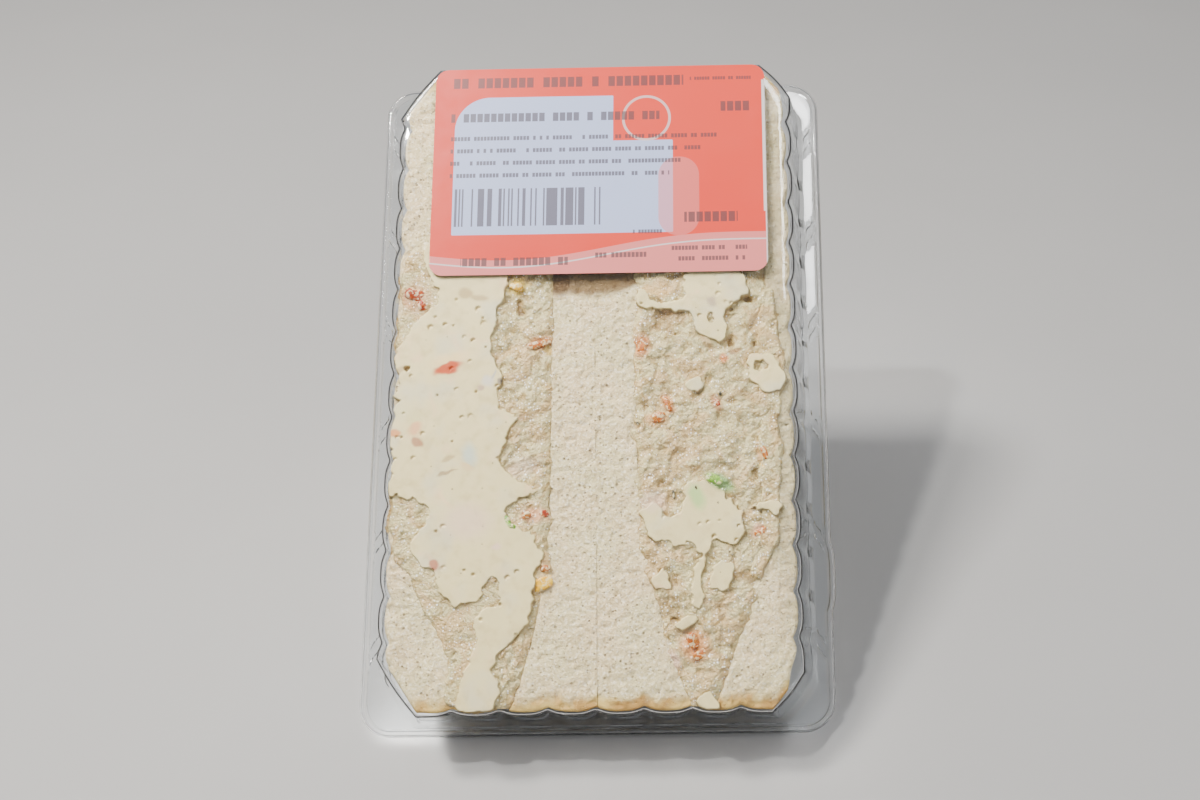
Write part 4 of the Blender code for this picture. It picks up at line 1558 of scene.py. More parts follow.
@dataclass
class DressingFilm:
    """Dressing squeezed flat against the window, with lobed edges that fall away to the salad."""

    name: str
    patches: tuple[FilmPatch, ...]
    material: Material
    box: tuple[float, float, float, float]
    seed: int
    spots: tuple[Spot, ...] = ()
    pitch: float = 0.21
    top: float = 17.45 * MM
    skirt: float = 15.7 * MM
    under: float = 15.2 * MM
    pits: int = 90
    roughness: float = 0.06 * MM
    coarse: float = 0.0
    softness: float = 0.2
    clearance: float = 1.0 * MM
    edge_cells: int = 10
    pit_depth: float = 0.55 * MM
    pit_top: float = 24.0 * MM
    frays: tuple[tuple[float, float], ...] = ((0.26, 2.6), (0.24, 1.2), (0.13, 0.6))

    def coverage(self, u: Points, v: Points) -> Points:
        """Return the blurred cover of the patches on a raster in millimetres, their edges made uneven.

        Args:
            u: The raster's u.
            v: The raster's v.

        Returns:
            The cover, 0 to 1.
        """
        grain = GrainField(self.seed)
        flat = np.stack([u.ravel(), v.ravel(), u.ravel() * 0.0], axis=1) * MM
        wander = [(0.7 * grain.at(flat + shift, 3.6 * MM)).reshape(u.shape) for shift in (0.0, 0.07)]
        cover = np.zeros(u.shape)
        for patch in self.patches:
            cover = np.maximum(cover, patch.inside(u + wander[0], v + wander[1]))
        cover = self.blurred(cover, 0.7) * self.inside_lid(flat).reshape(u.shape)
        frayed = sum(size * grain.at(flat, pitch * MM) for size, pitch in self.frays)
        return self.blurred((cover + frayed.reshape(u.shape) > 0.46) & (cover > 0.12), self.softness)

    def inside_lid(self, flat: Points) -> Points:
        """Return where the lid leaves room for the film, between its flutes and above its foot."""
        outline = FlutedOutline()
        side = PACK.window_half - self.clearance - outline.flute_depth * outline.notch(Side.RIGHT, flat)
        foot = PACK.window_low + self.clearance + outline.flute_depth * outline.notch(Side.FOOT, flat)
        return (np.abs(flat[:, 0]) < side) & (flat[:, 1] > foot)

    def blurred(self, cover: Points, reach: float) -> Points:
        """Return a raster blurred by a reach in millimetres, with nothing beyond its rim.

        Args:
            cover: The raster.
            reach: The blur's reach.

        Returns:
            The blurred raster.
        """
        pad = self.edge_cells
        steps = range(-pad, pad + 1)
        weights = np.exp(-0.5 * (np.array(steps) * self.pitch / reach) ** 2)
        weights /= weights.sum()
        wide = np.pad(cover.astype(float), pad)
        for axis in (0, 1):
            wide = sum(weight * np.roll(wide, step, axis) for step, weight in zip(steps, weights))
        return wide[pad:-pad, pad:-pad]

    def lumps(self, u: Points, v: Points) -> Points:
        """Return the relief of a coarse smear, about -1 to 1."""
        big, _ = LumpField(1.9 * MM, self.seed + 3).at(u, v)
        small, _ = LumpField(0.9 * MM, self.seed + 4).at(u, v)
        return 1.3 * big + 0.7 * small - 1.2

    def dimples(self, u: Points, v: Points) -> Points:
        """Return the depth of the film's small pits and crescents, 0 to 1.

        Args:
            u: Across the window.
            v: Up the window.

        Returns:
            One depth for each point.
        """
        draw = np.random.default_rng(self.seed + 2)
        depth = np.zeros(len(u))
        left, right, low = (part * MM for part in self.box[:3])
        for _ in range(self.pits):
            centre_u, centre_v = draw.uniform(left, right), draw.uniform(low, self.pit_top)
            radius = draw.uniform(0.22, 0.8) * MM
            reach = np.hypot(u - centre_u, v - centre_v)
            pit = 1.0 - smoothstep(0.6 * radius, radius, reach)
            if radius > 0.45 * MM:
                bite = np.hypot(u - centre_u - 0.3 * radius, v - centre_v + 0.4 * radius)
                pit = pit * smoothstep(0.5 * radius, 0.8 * radius, bite)
            depth = np.maximum(depth, pit * draw.uniform(0.5, 1.0))
        return depth

    def build(self) -> Item:
        """Build and dress the film.

        Returns:
            The piece.
        """
        left, right, low, high = self.box
        counts = round((right - left) / self.pitch), round((high - low) / self.pitch)
        deselect_all()
        bpy.ops.mesh.primitive_grid_add(x_subdivisions=counts[0], y_subdivisions=counts[1], size=2.0)
        item = take_active(self.name)
        grid = points_of(item)
        columns = np.rint((grid[:, 0] + 1.0) * 0.5 * counts[0]).astype(int)
        ranks = np.rint((grid[:, 1] + 1.0) * 0.5 * counts[1]).astype(int)
        raster_u, raster_v = np.meshgrid(
            np.linspace(left, right, counts[0] + 1), np.linspace(low, high, counts[1] + 1), indexing="ij"
        )
        cover = self.coverage(raster_u, raster_v)[columns, ranks]
        u, v = raster_u[columns, ranks] * MM, raster_v[columns, ranks] * MM
        grain = GrainField(self.seed + 1)
        swell = smoothstep(0.22, 0.7, cover)
        swell = 1.0 - (1.0 - swell) ** 1.8
        flat = np.stack([u, v, u * 0.0], axis=1)
        dimples = self.dimples(u, v)
        waves = self.roughness * (grain.at(flat, 3.0 * MM) + self.coarse * self.lumps(u, v))
        w = self.skirt + (self.top + waves - self.skirt) * swell - self.pit_depth * dimples * swell
        move_points(item, np.stack([u, v, w], axis=1))
        # The hollow mask paints shade where the salad finish dresses a smear.
        add_mask(item, "hollow", np.clip((HOLLOW_TOP - w) / HOLLOW_REACH, 0.0, 1.0))
        # The edge mask marks the film's falling edges and its pits, where the dressing finish paints shade.
        add_mask(item, "edge", np.clip(1.0 - smoothstep(0.35, 0.65, cover) + 0.75 * dimples, 0.0, 1.0))
        add_tint(item, "tint", spot_tint(self.spots, u, v))
        self.trim(item, cover)
        finish_piece(item, self.material, (), 80.0)
        return item

    def trim(self, item: Item, cover: Points) -> None:
        """Cut away the raster outside the film and close it underneath.

        Args:
            item: The film's object.
            cover: The film's cover at each vertex.
        """
        select_only(item)
        bpy.ops.object.mode_set(mode="EDIT")
        bpy.ops.mesh.select_mode(type="VERT")
        bpy.ops.mesh.select_all(action="DESELECT")
        shape = bmesh.from_edit_mesh(item.data)
        shape.verts.ensure_lookup_table()
        for vert in shape.verts:
            vert.select_set(bool(cover[vert.index] < 0.04))
        bmesh.update_edit_mesh(item.data)
        bpy.ops.mesh.delete(type="VERT")
        bpy.ops.mesh.select_all(action="SELECT")
        bpy.ops.mesh.extrude_region_move(
            TRANSFORM_OT_translate={"value": (0.0, 0.0, self.under - self.skirt)}
        )
        end_edit()


class PepperKind(Enum):
    """The kinds of chopped bits in the salad: skin and flesh as display colours."""

    RED = ("pepper_red", (140, 40, 0), (176, 84, 12))
    ORANGE = ("pepper_orange", (158, 78, 0), (190, 122, 30))
    YELLOW = ("pepper_yellow", (214, 160, 8), (226, 190, 50))
    GREEN = ("pepper_green", (92, 138, 26), (150, 184, 74))
    HERB = ("herb_specks", (66, 60, 40), (92, 84, 56))


@dataclass(frozen=True)
class Bit:
    """One chopped bit: its place, half sizes in millimetres, turn in degrees and level above the cut."""

    u: float
    v: float
    half_u: float
    half_v: float
    angle: float
    rise: float = 0.6
    half_w: float = 0.7


@dataclass
class ChoppedBits:
    """All bits of one kind, joined into one piece."""

    kind: PepperKind
    bits: tuple[Bit, ...]
    seed: int
    rounds: int = 3

    def shape(self, bit: Bit, index: int) -> Item:
        """Model one bit from a small ball, pulled to its size and made uneven.

        Args:
            bit: The bit.
            index: Its number, which picks its unevenness.

        Returns:
            Its object.
        """
        bpy.ops.mesh.primitive_ico_sphere_add(subdivisions=self.rounds, radius=1.0)
        item = bpy.context.active_object
        ball = points_of(item)
        grain = GrainField(self.seed)
        reach = 1.0 + 0.3 * grain.at(ball + index * 3.7, 0.9) + 0.12 * grain.at(ball + index * 1.3, 0.4)
        blunt = np.sign(ball) * np.abs(ball) ** 0.75
        size = blunt * reach[:, None] * np.array([bit.half_u, bit.half_v, bit.half_w]) * MM
        turn = math.radians(bit.angle)
        across = size[:, 0] * math.cos(turn) - size[:, 1] * math.sin(turn) + bit.u * MM
        along = size[:, 0] * math.sin(turn) + size[:, 1] * math.cos(turn) + bit.v * MM
        move_points(item, np.stack([across, along, size[:, 2] + PACK.cut_height + bit.rise * MM], axis=1))
        return item

    def build(self) -> Item:
        """Build and dress the bits."""
        name, skin, flesh = self.kind.value
        deselect_all()
        items = []
        for index, bit in enumerate(self.bits):
            items.append(self.shape(bit, index))
        for item in items:
            item.select_set(True)
        bpy.context.view_layer.objects.active = items[0]
        bpy.ops.object.join()
        joined = take_active(name)
        finish = PepperFinish(name + "_wet", linear(*skin), linear(*flesh))
        finish_piece(joined, finish.build())
        return joined


@dataclass
class Label:
    """The paper label on the upper window, its corner folded where it passes the chamfer."""

    material: Material
    outline: FlutedOutline
    left: float = -36.7 * MM
    right: float = 38.9 * MM
    low: float = 23.4 * MM
    high: float = 73.2 * MM
    corner: float = 3.0 * MM
    paper: float = 0.14 * MM
    above: float = 0.1 * MM
    fold_angle: float = math.radians(38.0)
    fold_radius: float = 1.2 * MM
    cells: tuple[int, int] = (152, 100)

    def rounded(self, u: Points, v: Points) -> tuple[Points, Points]:
        """Pull the grid's square corners in to the label's round ones.

        Args:
            u: Across the window.
            v: Up the window.

        Returns:
            The moved u and v.
        """
        radius = self.corner
        middle_u, middle_v = 0.5 * (self.left + self.right), 0.5 * (self.low + self.high)
        side_u, side_v = np.sign(u - middle_u), np.sign(v - middle_v)
        over_u = np.abs(u - middle_u) - (0.5 * (self.right - self.left) - radius)
        over_v = np.abs(v - middle_v) - (0.5 * (self.high - self.low) - radius)
        corner = (over_u > 0.0) & (over_v > 0.0)
        length = np.maximum(np.hypot(over_u, over_v), 1e-9)
        pull = np.where(corner, np.maximum(over_u, over_v) / length - 1.0, 0.0)
        return u + side_u * over_u * pull * corner, v + side_v * over_v * pull * corner

    def folded(self, points: Points) -> Points:
        """Bend the upper right corner down along the window's chamfer.

        Args:
            points: Rows of u, v and w.

        Returns:
            The bent rows.
        """
        chamfer_x, chamfer_y = self.outline.chamfer_right
        start = np.array([PACK.window_half - PACK.window_edge, PACK.window_high - chamfer_y])
        end = np.array([PACK.window_half - chamfer_x, PACK.window_high - PACK.window_edge])
        along = (end - start) / np.linalg.norm(end - start)
        outward = np.array([along[1], -along[0]])
        past = (points[:, :2] - start) @ outward
        bend = np.clip(past / (self.fold_radius * self.fold_angle), 0.0, 1.0) * self.fold_angle
        beyond = np.maximum(past - self.fold_radius * self.fold_angle, 0.0)
        forward = self.fold_radius * np.sin(bend) + beyond * math.cos(self.fold_angle)
        down = self.fold_radius * (1.0 - np.cos(bend)) + beyond * math.sin(self.fold_angle)
        move = np.where(past > 0.0, forward - past, 0.0)
        bent = points.copy()
        bent[:, :2] += outward * move[:, None]
        bent[:, 2] -= np.where(past > 0.0, down, 0.0)
        return bent

    def build(self) -> Item:
        """Build and dress the label.

        Returns:
            The piece.
        """
        deselect_all()
        bpy.ops.mesh.primitive_grid_add(x_subdivisions=self.cells[0], y_subdivisions=self.cells[1], size=2.0)
        item = take_active("label_paper_sheet")
        grid = points_of(item)
        u = self.left + (self.right - self.left) * 0.5 * (grid[:, 0] + 1.0)
        v = self.low + (self.high - self.low) * 0.5 * (grid[:, 1] + 1.0)
        u, v = self.rounded(u, v)
        grain = GrainField(11)
        flat = np.stack([u, v, u * 0.0], axis=1)
        w = PACK.window_height + self.above + self.paper + 0.05 * MM * (1.0 + grain.at(flat, 11.0 * MM))
        sheet_map = item.data.uv_layers.active or item.data.uv_layers.new()
        sheet_map.name = "label"
        across = (u - self.left) / (self.right - self.left)
        shares = np.stack([across, (v - self.low) / (self.high - self.low)], axis=1)
        loops = np.zeros(len(item.data.loops), int)
        item.data.loops.foreach_get("vertex_index", loops)
        sheet_map.data.foreach_set("uv", shares[loops].astype(np.float32).ravel())
        points = self.folded(np.stack([u, v, w], axis=1))
        move_points(item, points)
        add_mask(item, "paper_edge", np.zeros(len(points)))
        apply_modifier(item, "SOLIDIFY", thickness=self.paper, offset=-1.0, use_even_offset=True)
        self.whiten_edge(item)
        finish_piece(item, self.material, ["label"], 35.0)
        return item

    def whiten_edge(self, item: Item) -> None:
        """Mark the underside, so that the cut paper edge and the back stay white."""
        normals = np.zeros(len(item.data.vertices) * 3, np.float32)
        item.data.vertices.foreach_get("normal", normals)
        back = (normals.reshape(-1, 3)[:, 2] < 0.0).astype(np.float32)
        item.data.attributes["paper_edge"].data.foreach_set("value", back)


@dataclass
class Studio:
    """The pale floor, the soft lights and the camera."""

    floor_half: float = 1.5
    sky: Colour = (0.86, 0.88, 0.92)
    sky_strength: float = 0.34
    sensor: float = 36.0
    lens: float = 43.8
    shift: tuple[float, float] = (-0.1, -0.0417)
    eye: tuple[float, float, float] = (31.9 * MM, -75.55 * MM, 327.41 * MM)
    forward: tuple[float, float, float] = (-0.0124, 0.253, -0.9674)
    up: tuple[float, float, float] = (0.0162, 0.9674, 0.2528)

    def lay_floor(self) -> None:
        """Add the floor."""
        deselect_all()
        bpy.ops.mesh.primitive_grid_add(x_subdivisions=8, y_subdivisions=8, size=2.0 * self.floor_half)
        floor = take_active("studio_floor")
        floor.data.materials.append(FloorFinish().build())

    def hang_light(
        self, name: str, place: Sequence[float], size: tuple[float, float], power: float, colour: Colour
    ) -> None:
        """Add a soft light that faces the pack, its second side along the window.

        Args:
            name: The light's name.
            place: Its middle, in the pack frame.
            size: Its two sides, in metres.
            power: Its power, in watts.
            colour: Its colour.
        """
        lamp = bpy.data.lights.new(name, "AREA")
        lamp.shape = "RECTANGLE"
        lamp.size, lamp.size_y = size
        lamp.energy = power
        lamp.color = colour
        item = bpy.data.objects.new(name, lamp)
        bpy.context.scene.collection.objects.link(item)
        middle = Vector(PACK.stand(np.array([place]))[0])
        target = Vector(PACK.stand(np.array([[0.0, 0.0, 10.0 * MM]]))[0])
        back = (middle - target).normalized()
        across = PACK.turn((0.0, 1.0, 0.0)).cross(back).normalized()
        turn = Matrix((across, back.cross(across), back)).transposed()
        item.matrix_world = Matrix.Translation(middle) @ turn.to_4x4()

    def set_world(self) -> None:
        """Light the surroundings with an even pale grey."""
        world = bpy.data.worlds.new("studio_world")
        world.use_nodes = True
        background = world.node_tree.nodes["Background"]
        background.inputs["Color"].default_value = (*self.sky, 1.0)
        background.inputs["Strength"].default_value = self.sky_strength
        bpy.context.scene.world = world

    def place_camera(self) -> None:
        """Add the camera at the photograph's angle."""
        data = bpy.data.cameras.new("camera")
        data.lens = self.lens
        data.sensor_width = self.sensor
        data.shift_x, data.shift_y = self.shift
        data.clip_start = 0.01
        item = bpy.data.objects.new("camera", data)
        bpy.context.scene.collection.objects.link(item)
        forward, up = PACK.turn(self.forward).normalized(), PACK.turn(self.up)
        right = forward.cross(up).normalized()
        turn = Matrix((right, right.cross(forward), -forward)).transposed()
        item.matrix_world = Matrix.Translation(Vector(PACK.stand(np.array([self.eye]))[0])) @ turn.to_4x4()
        bpy.context.scene.camera = item

    def build(self) -> None:
        """Set up the whole studio."""
        self.lay_floor()
        self.set_world()
        self.hang_light("key_light", (-0.34, 0.5, 0.5), (0.13, 0.13), 6.2, (1.0, 0.96, 0.9))
        self.hang_light("fill_light", (0.55, -0.1, 0.5), (0.6, 0.6), 1.4, (0.95, 0.97, 1.0))
        self.hang_light("spark_light", (-0.22, 0.3, 0.5), (0.025, 0.025), 1.9, (1.0, 0.98, 0.94))
        self.hang_light("flange_light", (0.068, 0.22, 0.39), (0.014, 0.18), 0.3, (1.0, 1.0, 1.0))
        self.place_camera()


LEFT_FILM = FilmPatch(
    rows=(
        (-71.4, -24.0, -21.4), (-70.6, -27.0, -20.2), (-68.3, -28.1, -18.7), (-65.4, -26.2, -18.4),
        (-62.3, -25.5, -20.9), (-59.3, -24.8, -19.7), (-56.4, -23.2, -15.4), (-53.4, -23.8, -13.5),
        (-50.2, -28.2, -12.7), (-47.0, -31.4, -11.8), (-42.8, -33.0, -11.5), (-38.5, -38.8, -11.0),
        (-35.3, -39.1, -11.7), (-31.1, -34.6, -18.7), (-27.9, -35.3, -18.4), (-25.0, -44.0, -11.7),
        (-21.7, -44.0, -17.3), (-19.1, -44.0, -20.4), (-13.7, -43.9, -19.7), (-9.8, -44.0, -15.1),
        (-6.4, -43.7, -20.4), (-3.8, -42.7, -20.5), (0.6, -42.3, -20.0), (5.2, -44.0, -22.9),
        (8.5, -41.9, -22.6), (14.0, -38.3, -21.7), (18.5, -34.2, -20.1), (22.0, -36.5, -19.6),
        (30.0, -38.0, -21.0), (44.0, -36.0, -24.0), (56.0, -31.0, -25.0),
    ),
    bites=(
        (-20.9, -46.9, 2.5, 3.0), (-25.8, -50.6, 2.6, 2.8), (-35.8, -44.4, 3.4, 1.8), (-40.4, 2.4, 1.2, 1.0),
        (-38.0, 19.2, 3.4, 4.0), (-16.2, -50.4, 1.1, 1.0),
    ),
)
RIGHT_FILMS = (
    FilmPatch(
        rows=(
            (8.2, 24.8, 28.0), (10.0, 23.6, 28.8), (12.2, 22.0, 29.3), (14.4, 20.8, 30.0), (15.6, 11.8, 30.9),
            (16.2, 10.0, 31.3), (17.8, 20.3, 32.5), (19.4, 20.3, 34.5), (21.2, 20.3, 33.6),
            (26.0, 18.0, 31.0), (34.0, 20.0, 30.0),
        ),
        bites=((25.8, 13.0, 0.8, 1.3),),
    ),
    FilmPatch(rows=((15.4, 9.6, 12.2), (19.6, 9.6, 11.2), (20.4, 9.8, 10.8))),
    FilmPatch(
        rows=((-3.4, 36.5, 41.0), (-1.0, 34.2, 41.6), (3.0, 34.0, 41.4), (4.6, 35.2, 39.6)),
        bites=((36.8, 1.6, 1.7, 1.5),),
    ),
    FilmPatch(rows=((-3.2, 20.4, 23.4), (-1.0, 21.0, 24.2), (0.2, 22.4, 24.0))),
    FilmPatch(
        rows=(
            (-38.4, 23.8, 25.2), (-36.9, 13.2, 30.6), (-34.2, 12.2, 32.2), (-31.8, 10.4, 32.8),
            (-29.6, 9.8, 31.6), (-27.6, 19.6, 30.6), (-25.2, 19.4, 28.2), (-23.4, 20.2, 24.4),
        ),
        bites=(
            (17.2, -27.4, 2.6, 3.6), (20.4, -37.8, 1.9, 1.7), (28.0, -37.9, 2.3, 2.1),
            (14.8, -38.2, 1.7, 1.4),
        ),
    ),
    FilmPatch(rows=((-30.2, 33.4, 40.8), (-28.8, 33.2, 41.2), (-27.4, 37.0, 41.0))),
    FilmPatch(rows=((-46.0, 13.2, 16.6), (-44.8, 12.8, 17.4), (-42.6, 14.6, 16.6))),
    FilmPatch(rows=((-46.6, 25.4, 28.6), (-44.0, 25.2, 30.6), (-41.0, 26.0, 30.4))),
    FilmPatch(rows=((-55.0, 18.9, 20.6), (-52.8, 18.8, 22.2), (-51.6, 20.6, 23.0))),
    FilmPatch(rows=((-50.6, 21.4, 22.9), (-48.6, 22.0, 23.8), (-44.8, 21.6, 22.8), (-40.0, 22.4, 24.2))),
    FilmPatch(rows=((-71.4, 24.0, 26.4), (-70.0, 22.8, 27.4), (-67.6, 22.6, 25.6))),
)

LEFT_SMEARS = (
    FilmPatch(rows=(
        (-70.0, -30.0, -19.0), (-62.0, -29.5, -18.0), (-56.0, -31.0, -16.0), (-48.0, -36.0, -14.0),
        (-40.0, -41.5, -12.0), (-33.0, -43.0, -12.0), (-27.0, -43.2, -12.0), (-24.0, -42.6, -30.0),
    )),
    FilmPatch(rows=((6.0, -43.4, -36.0), (10.0, -43.4, -32.0), (16.0, -42.9, -28.0), (30.0, -42.6, -28.0))),
)
RIGHT_SMEARS = (
    FilmPatch(rows=(
        (-44.0, 33.6, 36.4), (-36.0, 35.0, 39.4), (-26.0, 36.0, 40.8), (-12.0, 36.6, 40.6),
        (-2.0, 36.4, 41.4), (8.0, 36.6, 41.0), (16.0, 36.8, 40.6), (20.0, 37.0, 39.4),
    )),
)

ORANGE_INK = (172, 60, 0)
TEAL_INK = (166, 180, 172)
ROSE_INK = (214, 180, 164)
TAN_INK = (168, 144, 98)
GREEN_INK = (148, 186, 110)

LEFT_SPOTS = (
    Spot(-31.9, 2.4, 3.2, 1.3, 18.0, ORANGE_INK, 0.97, 0.3),
    Spot(-31.5, 4.4, 4.0, 1.2, 12.0, (226, 190, 128), 0.45, 0.6),
    Spot(-26.6, -16.9, 1.5, 2.3, 10.0, TEAL_INK, 0.75, 0.6),
    Spot(-38.4, -11.0, 1.7, 1.5, 60.0, (206, 140, 96), 0.7, 0.5),
    Spot(-37.9, -14.2, 1.0, 1.1, 40.0, (150, 92, 62), 0.75, 0.3),
    Spot(-42.9, -12.1, 1.3, 0.9, 0.0, (196, 122, 62), 0.85, 0.35),
    Spot(-42.4, 2.0, 1.5, 0.8, 35.0, TAN_INK, 0.8, 0.4),
    Spot(-31.2, -17.6, 1.6, 0.45, 25.0, TAN_INK, 0.8, 0.35),
    Spot(-31.2, -20.8, 2.2, 0.35, 18.0, (140, 116, 78), 0.85, 0.3),
    Spot(-27.0, -19.6, 1.5, 0.8, 330.0, (206, 176, 130), 0.7, 0.4),
    Spot(-26.6, -31.5, 4.6, 3.6, 0.0, ROSE_INK, 0.5, 0.6),
    Spot(-20.2, -36.9, 1.0, 0.8, 0.0, ROSE_INK, 0.7, 0.5),
    Spot(-33.2, -40.6, 1.0, 1.4, 30.0, (150, 78, 50), 0.85, 0.3),
    Spot(-23.0, -0.6, 1.3, 1.2, 0.0, (192, 188, 190), 0.6, 0.6),
    Spot(-24.4, -2.2, 0.9, 0.5, 0.0, (170, 140, 120), 0.8, 0.4),
    Spot(-41.0, -7.0, 2.4, 1.6, 30.0, (204, 196, 150), 0.5, 0.6),
    Spot(-28.4, 19.3, 1.5, 1.2, 0.0, TAN_INK, 0.8, 0.35),
    Spot(-25.4, 18.4, 2.2, 0.6, 350.0, TAN_INK, 0.8, 0.35),
    Spot(-20.2, -0.8, 0.6, 0.7, 0.0, (104, 92, 88), 0.8, 0.4),
    Spot(-21.8, 0.8, 1.2, 0.35, 60.0, (150, 150, 158), 0.7, 0.4),
    Spot(-38.6, -8.6, 2.0, 1.4, 0.0, (196, 186, 130), 0.5, 0.6),
)
RIGHT_SPOTS = (
    Spot(27.5, -23.6, 3.4, 1.6, 330.0, (112, 150, 84), 0.9, 0.4),
    Spot(22.6, -26.8, 1.5, 2.6, 20.0, GREEN_INK, 0.75, 0.5),
    Spot(13.0, -27.6, 2.6, 2.2, 0.0, ROSE_INK, 0.45, 0.6),
    Spot(26.2, 16.8, 0.9, 1.1, 0.0, (150, 128, 112), 0.7, 0.5),
    Spot(28.6, 3.8, 0.9, 0.9, 0.0, (206, 122, 62), 0.9, 0.5),
)

# Painted shade on the bread: the label's shadow below its lower edge, in two spots, and the shaded strip
# along the right side of the pack.
BREAD_SHADE_SPOTS = (
    Spot(0.0, 61.8, 30.0, 43.0, 0.0, (104, 76, 42), 0.88, 0.02),
    Spot(-7.6, 22.0, 3.4, 3.2, 0.0, (82, 56, 26), 0.95, 0.4),
    Spot(43.5, 6.0, 6.0, 62.0, 0.0, (140, 130, 98), 0.5, 0.35),
)
SALAD_SPOTS_LEFT = (
    Spot(-12.0, 7.9, 3.0, 1.5, 15.0, (164, 92, 24), 0.75, 0.5),
    Spot(-9.4, 6.6, 1.6, 1.1, 0.0, (212, 176, 84), 0.7, 0.5),
    Spot(-39.6, 18.4, 3.4, 3.0, 60.0, (178, 106, 66), 0.5, 0.6),
    Spot(-17.1, 20.9, 2.4, 1.6, 0.0, (214, 186, 66), 0.7, 0.5),
    Spot(-12.2, -30.2, 2.8, 1.6, 0.0, (214, 146, 104), 0.7, 0.5),
    Spot(-10.0, -44.6, 2.4, 2.6, 0.0, (222, 190, 126), 0.8, 0.5),
    Spot(-10.4, -39.8, 1.6, 1.8, 0.0, (216, 176, 120), 0.6, 0.5),
    Spot(-15.0, -19.6, 3.6, 1.8, 10.0, (224, 196, 170), 0.45, 0.6),
    Spot(-14.4, -8.6, 3.0, 0.7, 20.0, (150, 112, 62), 0.6, 0.5),
)
SALAD_SPOTS_RIGHT = RIGHT_SPOTS + (
    Spot(10.6, 6.9, 1.7, 2.6, 350.0, (178, 92, 24), 0.8, 0.5),
    Spot(16.4, -6.2, 1.2, 2.4, 25.0, (186, 110, 44), 0.7, 0.5),
    Spot(14.0, -9.5, 2.5, 1.7, 10.0, (196, 130, 56), 0.7, 0.5),
    Spot(27.0, -6.2, 1.1, 1.9, 20.0, (160, 92, 40), 0.7, 0.5),
    Spot(37.2, -18.2, 1.3, 3.2, 20.0, (222, 164, 98), 0.7, 0.5),
    Spot(20.4, -12.4, 1.4, 2.0, 340.0, (176, 142, 92), 0.75, 0.4),
    Spot(22.0, -58.2, 3.0, 3.2, 0.0, (206, 128, 62), 0.7, 0.5),
    Spot(36.1, -34.4, 2.0, 1.6, 0.0, (224, 170, 140), 0.6, 0.5),
    Spot(16.9, -61.0, 1.8, 1.8, 0.0, (216, 180, 160), 0.6, 0.5),
    Spot(16.0, 14.8, 3.6, 1.5, 8.0, (120, 90, 48), 0.75, 0.5),
    Spot(13.6, 19.6, 3.4, 1.6, 0.0, (210, 160, 92), 0.55, 0.6),
    Spot(31.2, 5.4, 1.4, 0.7, 10.0, (150, 108, 60), 0.8, 0.4),
    Spot(34.4, -5.0, 4.6, 1.0, 330.0, (150, 116, 66), 0.6, 0.5),
)

PEPPER_BITS = {
    PepperKind.RED: (
        Bit(-40.0, 19.5, 1.3, 2.0, 70.0, 0.7), Bit(-38.2, 16.8, 1.0, 1.2, 20.0, 0.6),
        Bit(-10.4, -30.1, 1.2, 0.9, 20.0, 0.3), Bit(27.0, -6.2, 0.7, 1.2, 20.0, 0.4),
    ),
    PepperKind.ORANGE: (
        Bit(-12.0, 7.6, 2.4, 0.9, 15.0, 0.3), Bit(10.6, 6.9, 0.9, 1.5, 350.0, 0.3),
        Bit(16.4, -6.2, 0.7, 1.9, 25.0, 0.4), Bit(14.3, -9.3, 1.8, 1.0, 10.0, 0.4),
        Bit(37.2, -17.4, 0.7, 1.5, 20.0, 0.4), Bit(-13.9, -30.2, 1.1, 0.8, 10.0, 0.6),
        Bit(21.6, -57.1, 1.3, 1.6, 40.0, 0.7), Bit(22.6, -59.9, 1.4, 1.2, 20.0, 0.6),
        Bit(36.1, -34.4, 1.3, 0.8, 30.0, 0.3), Bit(-9.8, -41.5, 1.2, 0.7, 0.0, 0.1),
    ),
    PepperKind.YELLOW: (
        Bit(-17.1, 20.9, 1.5, 1.0, 350.0, 0.6), Bit(-10.2, -44.8, 2.2, 1.3, 20.0, 0.1),
        Bit(37.0, -20.6, 0.9, 1.0, 0.0, 0.3),
    ),
    PepperKind.GREEN: (
        Bit(-17.9, -31.4, 0.5, 1.5, 25.0, 1.0, 0.4), Bit(-17.0, -32.6, 1.2, 0.6, 340.0, 0.9, 0.4),
        Bit(26.2, -23.0, 1.9, 0.9, 330.0, 0.75, 0.4),
    ),
    PepperKind.HERB: (
        Bit(12.2, 2.7, 0.35, 0.3, 0.0, 0.7, 0.2), Bit(27.9, -4.2, 0.3, 0.4, 0.0, 0.7, 0.2),
        Bit(9.9, -10.5, 0.4, 0.3, 0.0, 0.6, 0.2), Bit(31.2, -13.1, 0.35, 0.35, 0.0, 0.6, 0.2),
        Bit(19.1, -25.8, 0.3, 0.3, 0.0, 1.2, 0.12), Bit(22.4, -24.9, 0.25, 0.4, 20.0, 1.2, 0.12),
        Bit(17.6, -26.2, 0.3, 0.9, 12.0, 0.7, 0.2), Bit(27.1, -28.2, 0.25, 0.2, 0.0, 1.2, 0.12),
    ),
}


def build_bread(form: SandwichForm, effects: Effects) -> None:
    """Build the four half slices.

    Args:
        form: The half sandwiches' form.
        effects: The shared groups.
    """
    material = BreadFinish(effects).build()
    layers = (
        ("slice_outer_left", (Face.PACK_LEFT, Face.LEFT_OUTER), 40),
        ("slice_inner_left", (Face.LEFT_INNER, Face.SEAM), 36),
        ("slice_inner_right", (Face.SEAM, Face.RIGHT_INNER), 36),
        ("slice_outer_right", (Face.RIGHT_OUTER, Face.PACK_RIGHT), 40),
    )
    for index, (name, faces, across) in enumerate(layers):
        BreadSlice(name, faces, material, form, 20 + index, across, spots=BREAD_SHADE_SPOTS).build()


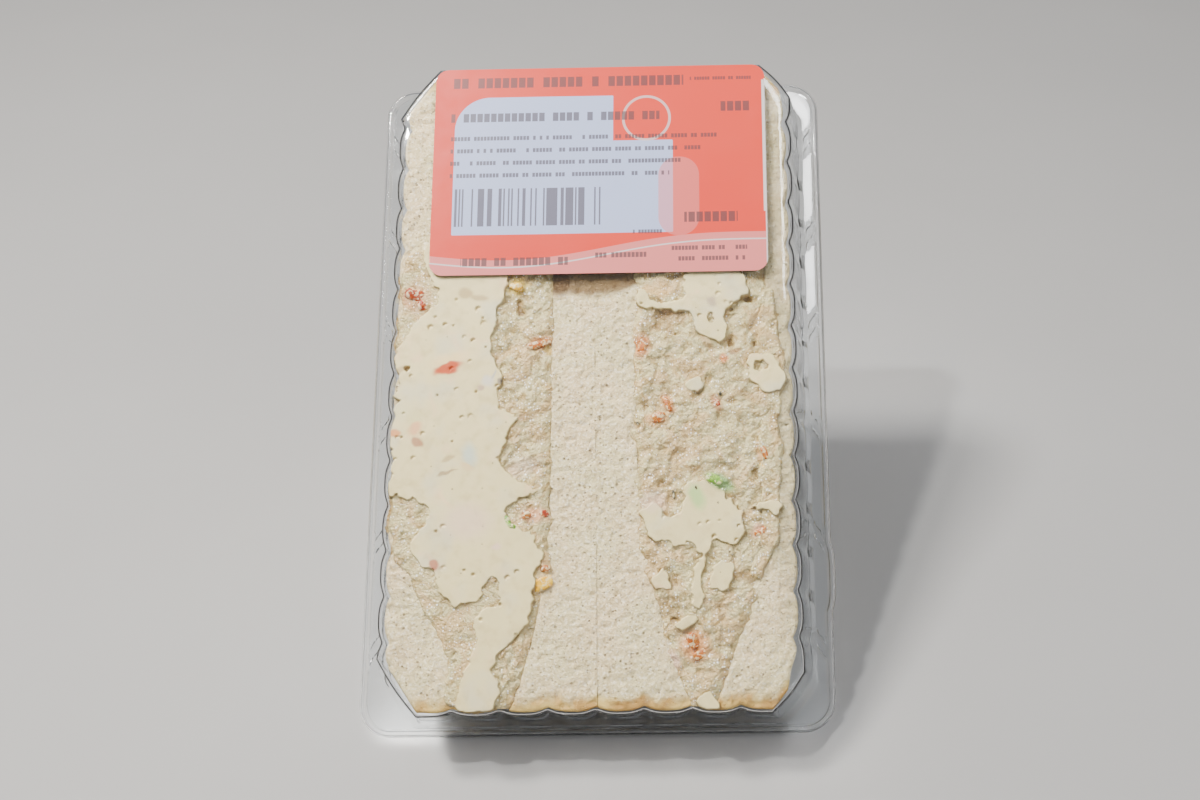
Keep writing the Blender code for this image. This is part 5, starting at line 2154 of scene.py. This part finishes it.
def build_salad(form: SandwichForm, effects: Effects) -> None:
    """Build the two layers of salad, the dressing pressed on the window and the chopped bits.

    Args:
        form: The half sandwiches' form.
        effects: The shared groups.
    """
    salad = SaladFinish(effects).build()
    left, right = (Face.LEFT_OUTER, Face.LEFT_INNER), (Face.RIGHT_INNER, Face.RIGHT_OUTER)
    SaladLayer("filling_left", left, salad, form, 40, spots=SALAD_SPOTS_LEFT).build()
    SaladLayer("filling_right", right, salad, form, 60, spots=SALAD_SPOTS_RIGHT).build()
    cream = DressingFinish(effects).build()
    left_box = (-46.0, -8.0, -74.0, 34.0)
    DressingFilm("dressing_left", (LEFT_FILM,), cream, left_box, 80, LEFT_SPOTS).build()
    DressingFilm("dressing_right", RIGHT_FILMS, cream, (6.0, 44.0, -74.0, 34.0), 90, RIGHT_SPOTS).build()
    smear = {
        "top": 16.7 * MM, "skirt": 15.8 * MM, "under": 15.5 * MM, "roughness": 0.3 * MM,
        "coarse": 1.0, "softness": 0.6, "pitch": 0.3,
    }
    DressingFilm("smear_left", LEFT_SMEARS, salad, left_box, 84, SALAD_SPOTS_LEFT, **smear).build()
    DressingFilm("smear_right", RIGHT_SMEARS, salad, (30.0, 44.0, -50.0, 34.0), 94, **smear).build()
    for index, (kind, bits) in enumerate(PEPPER_BITS.items()):
        ChoppedBits(kind, bits, 100 + index).build()


def check_frame() -> None:
    """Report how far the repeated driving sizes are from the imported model."""
    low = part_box("label")[0]
    corner = PACK.stand(np.array([[Label.left, Label.low, LABEL_TOP]]))[0]
    log.info("tilt %.3f deg, label offset %.4f mm", math.degrees(PACK.tilt), (corner[0] - low.x) / MM)
    log.info("label low edge %.4f mm", (corner[1] - low.y) / MM)


def main() -> None:
    """Build every piece in order, then the studio."""
    logging.basicConfig(level=logging.INFO, format="%(message)s")
    effects = Effects(build_speckle_group(), build_field_group())
    check_frame()
    form = SandwichForm()
    build_bread(form, effects)
    build_salad(form, effects)
    outline = FlutedOutline()
    label_paper = PaperFinish(effects, Label.right - Label.left, Label.high - Label.low)
    Label(label_paper.build(), outline).build()
    Tray(ClearFinish("clear_tray_sheet", (0.93, 0.95, 0.96)).build()).build()
    Lid(ClearFinish("clear_lid_sheet", (0.97, 0.98, 0.99)).build(), outline).build()
    Studio().build()


if __name__ == "__main__":
    main()
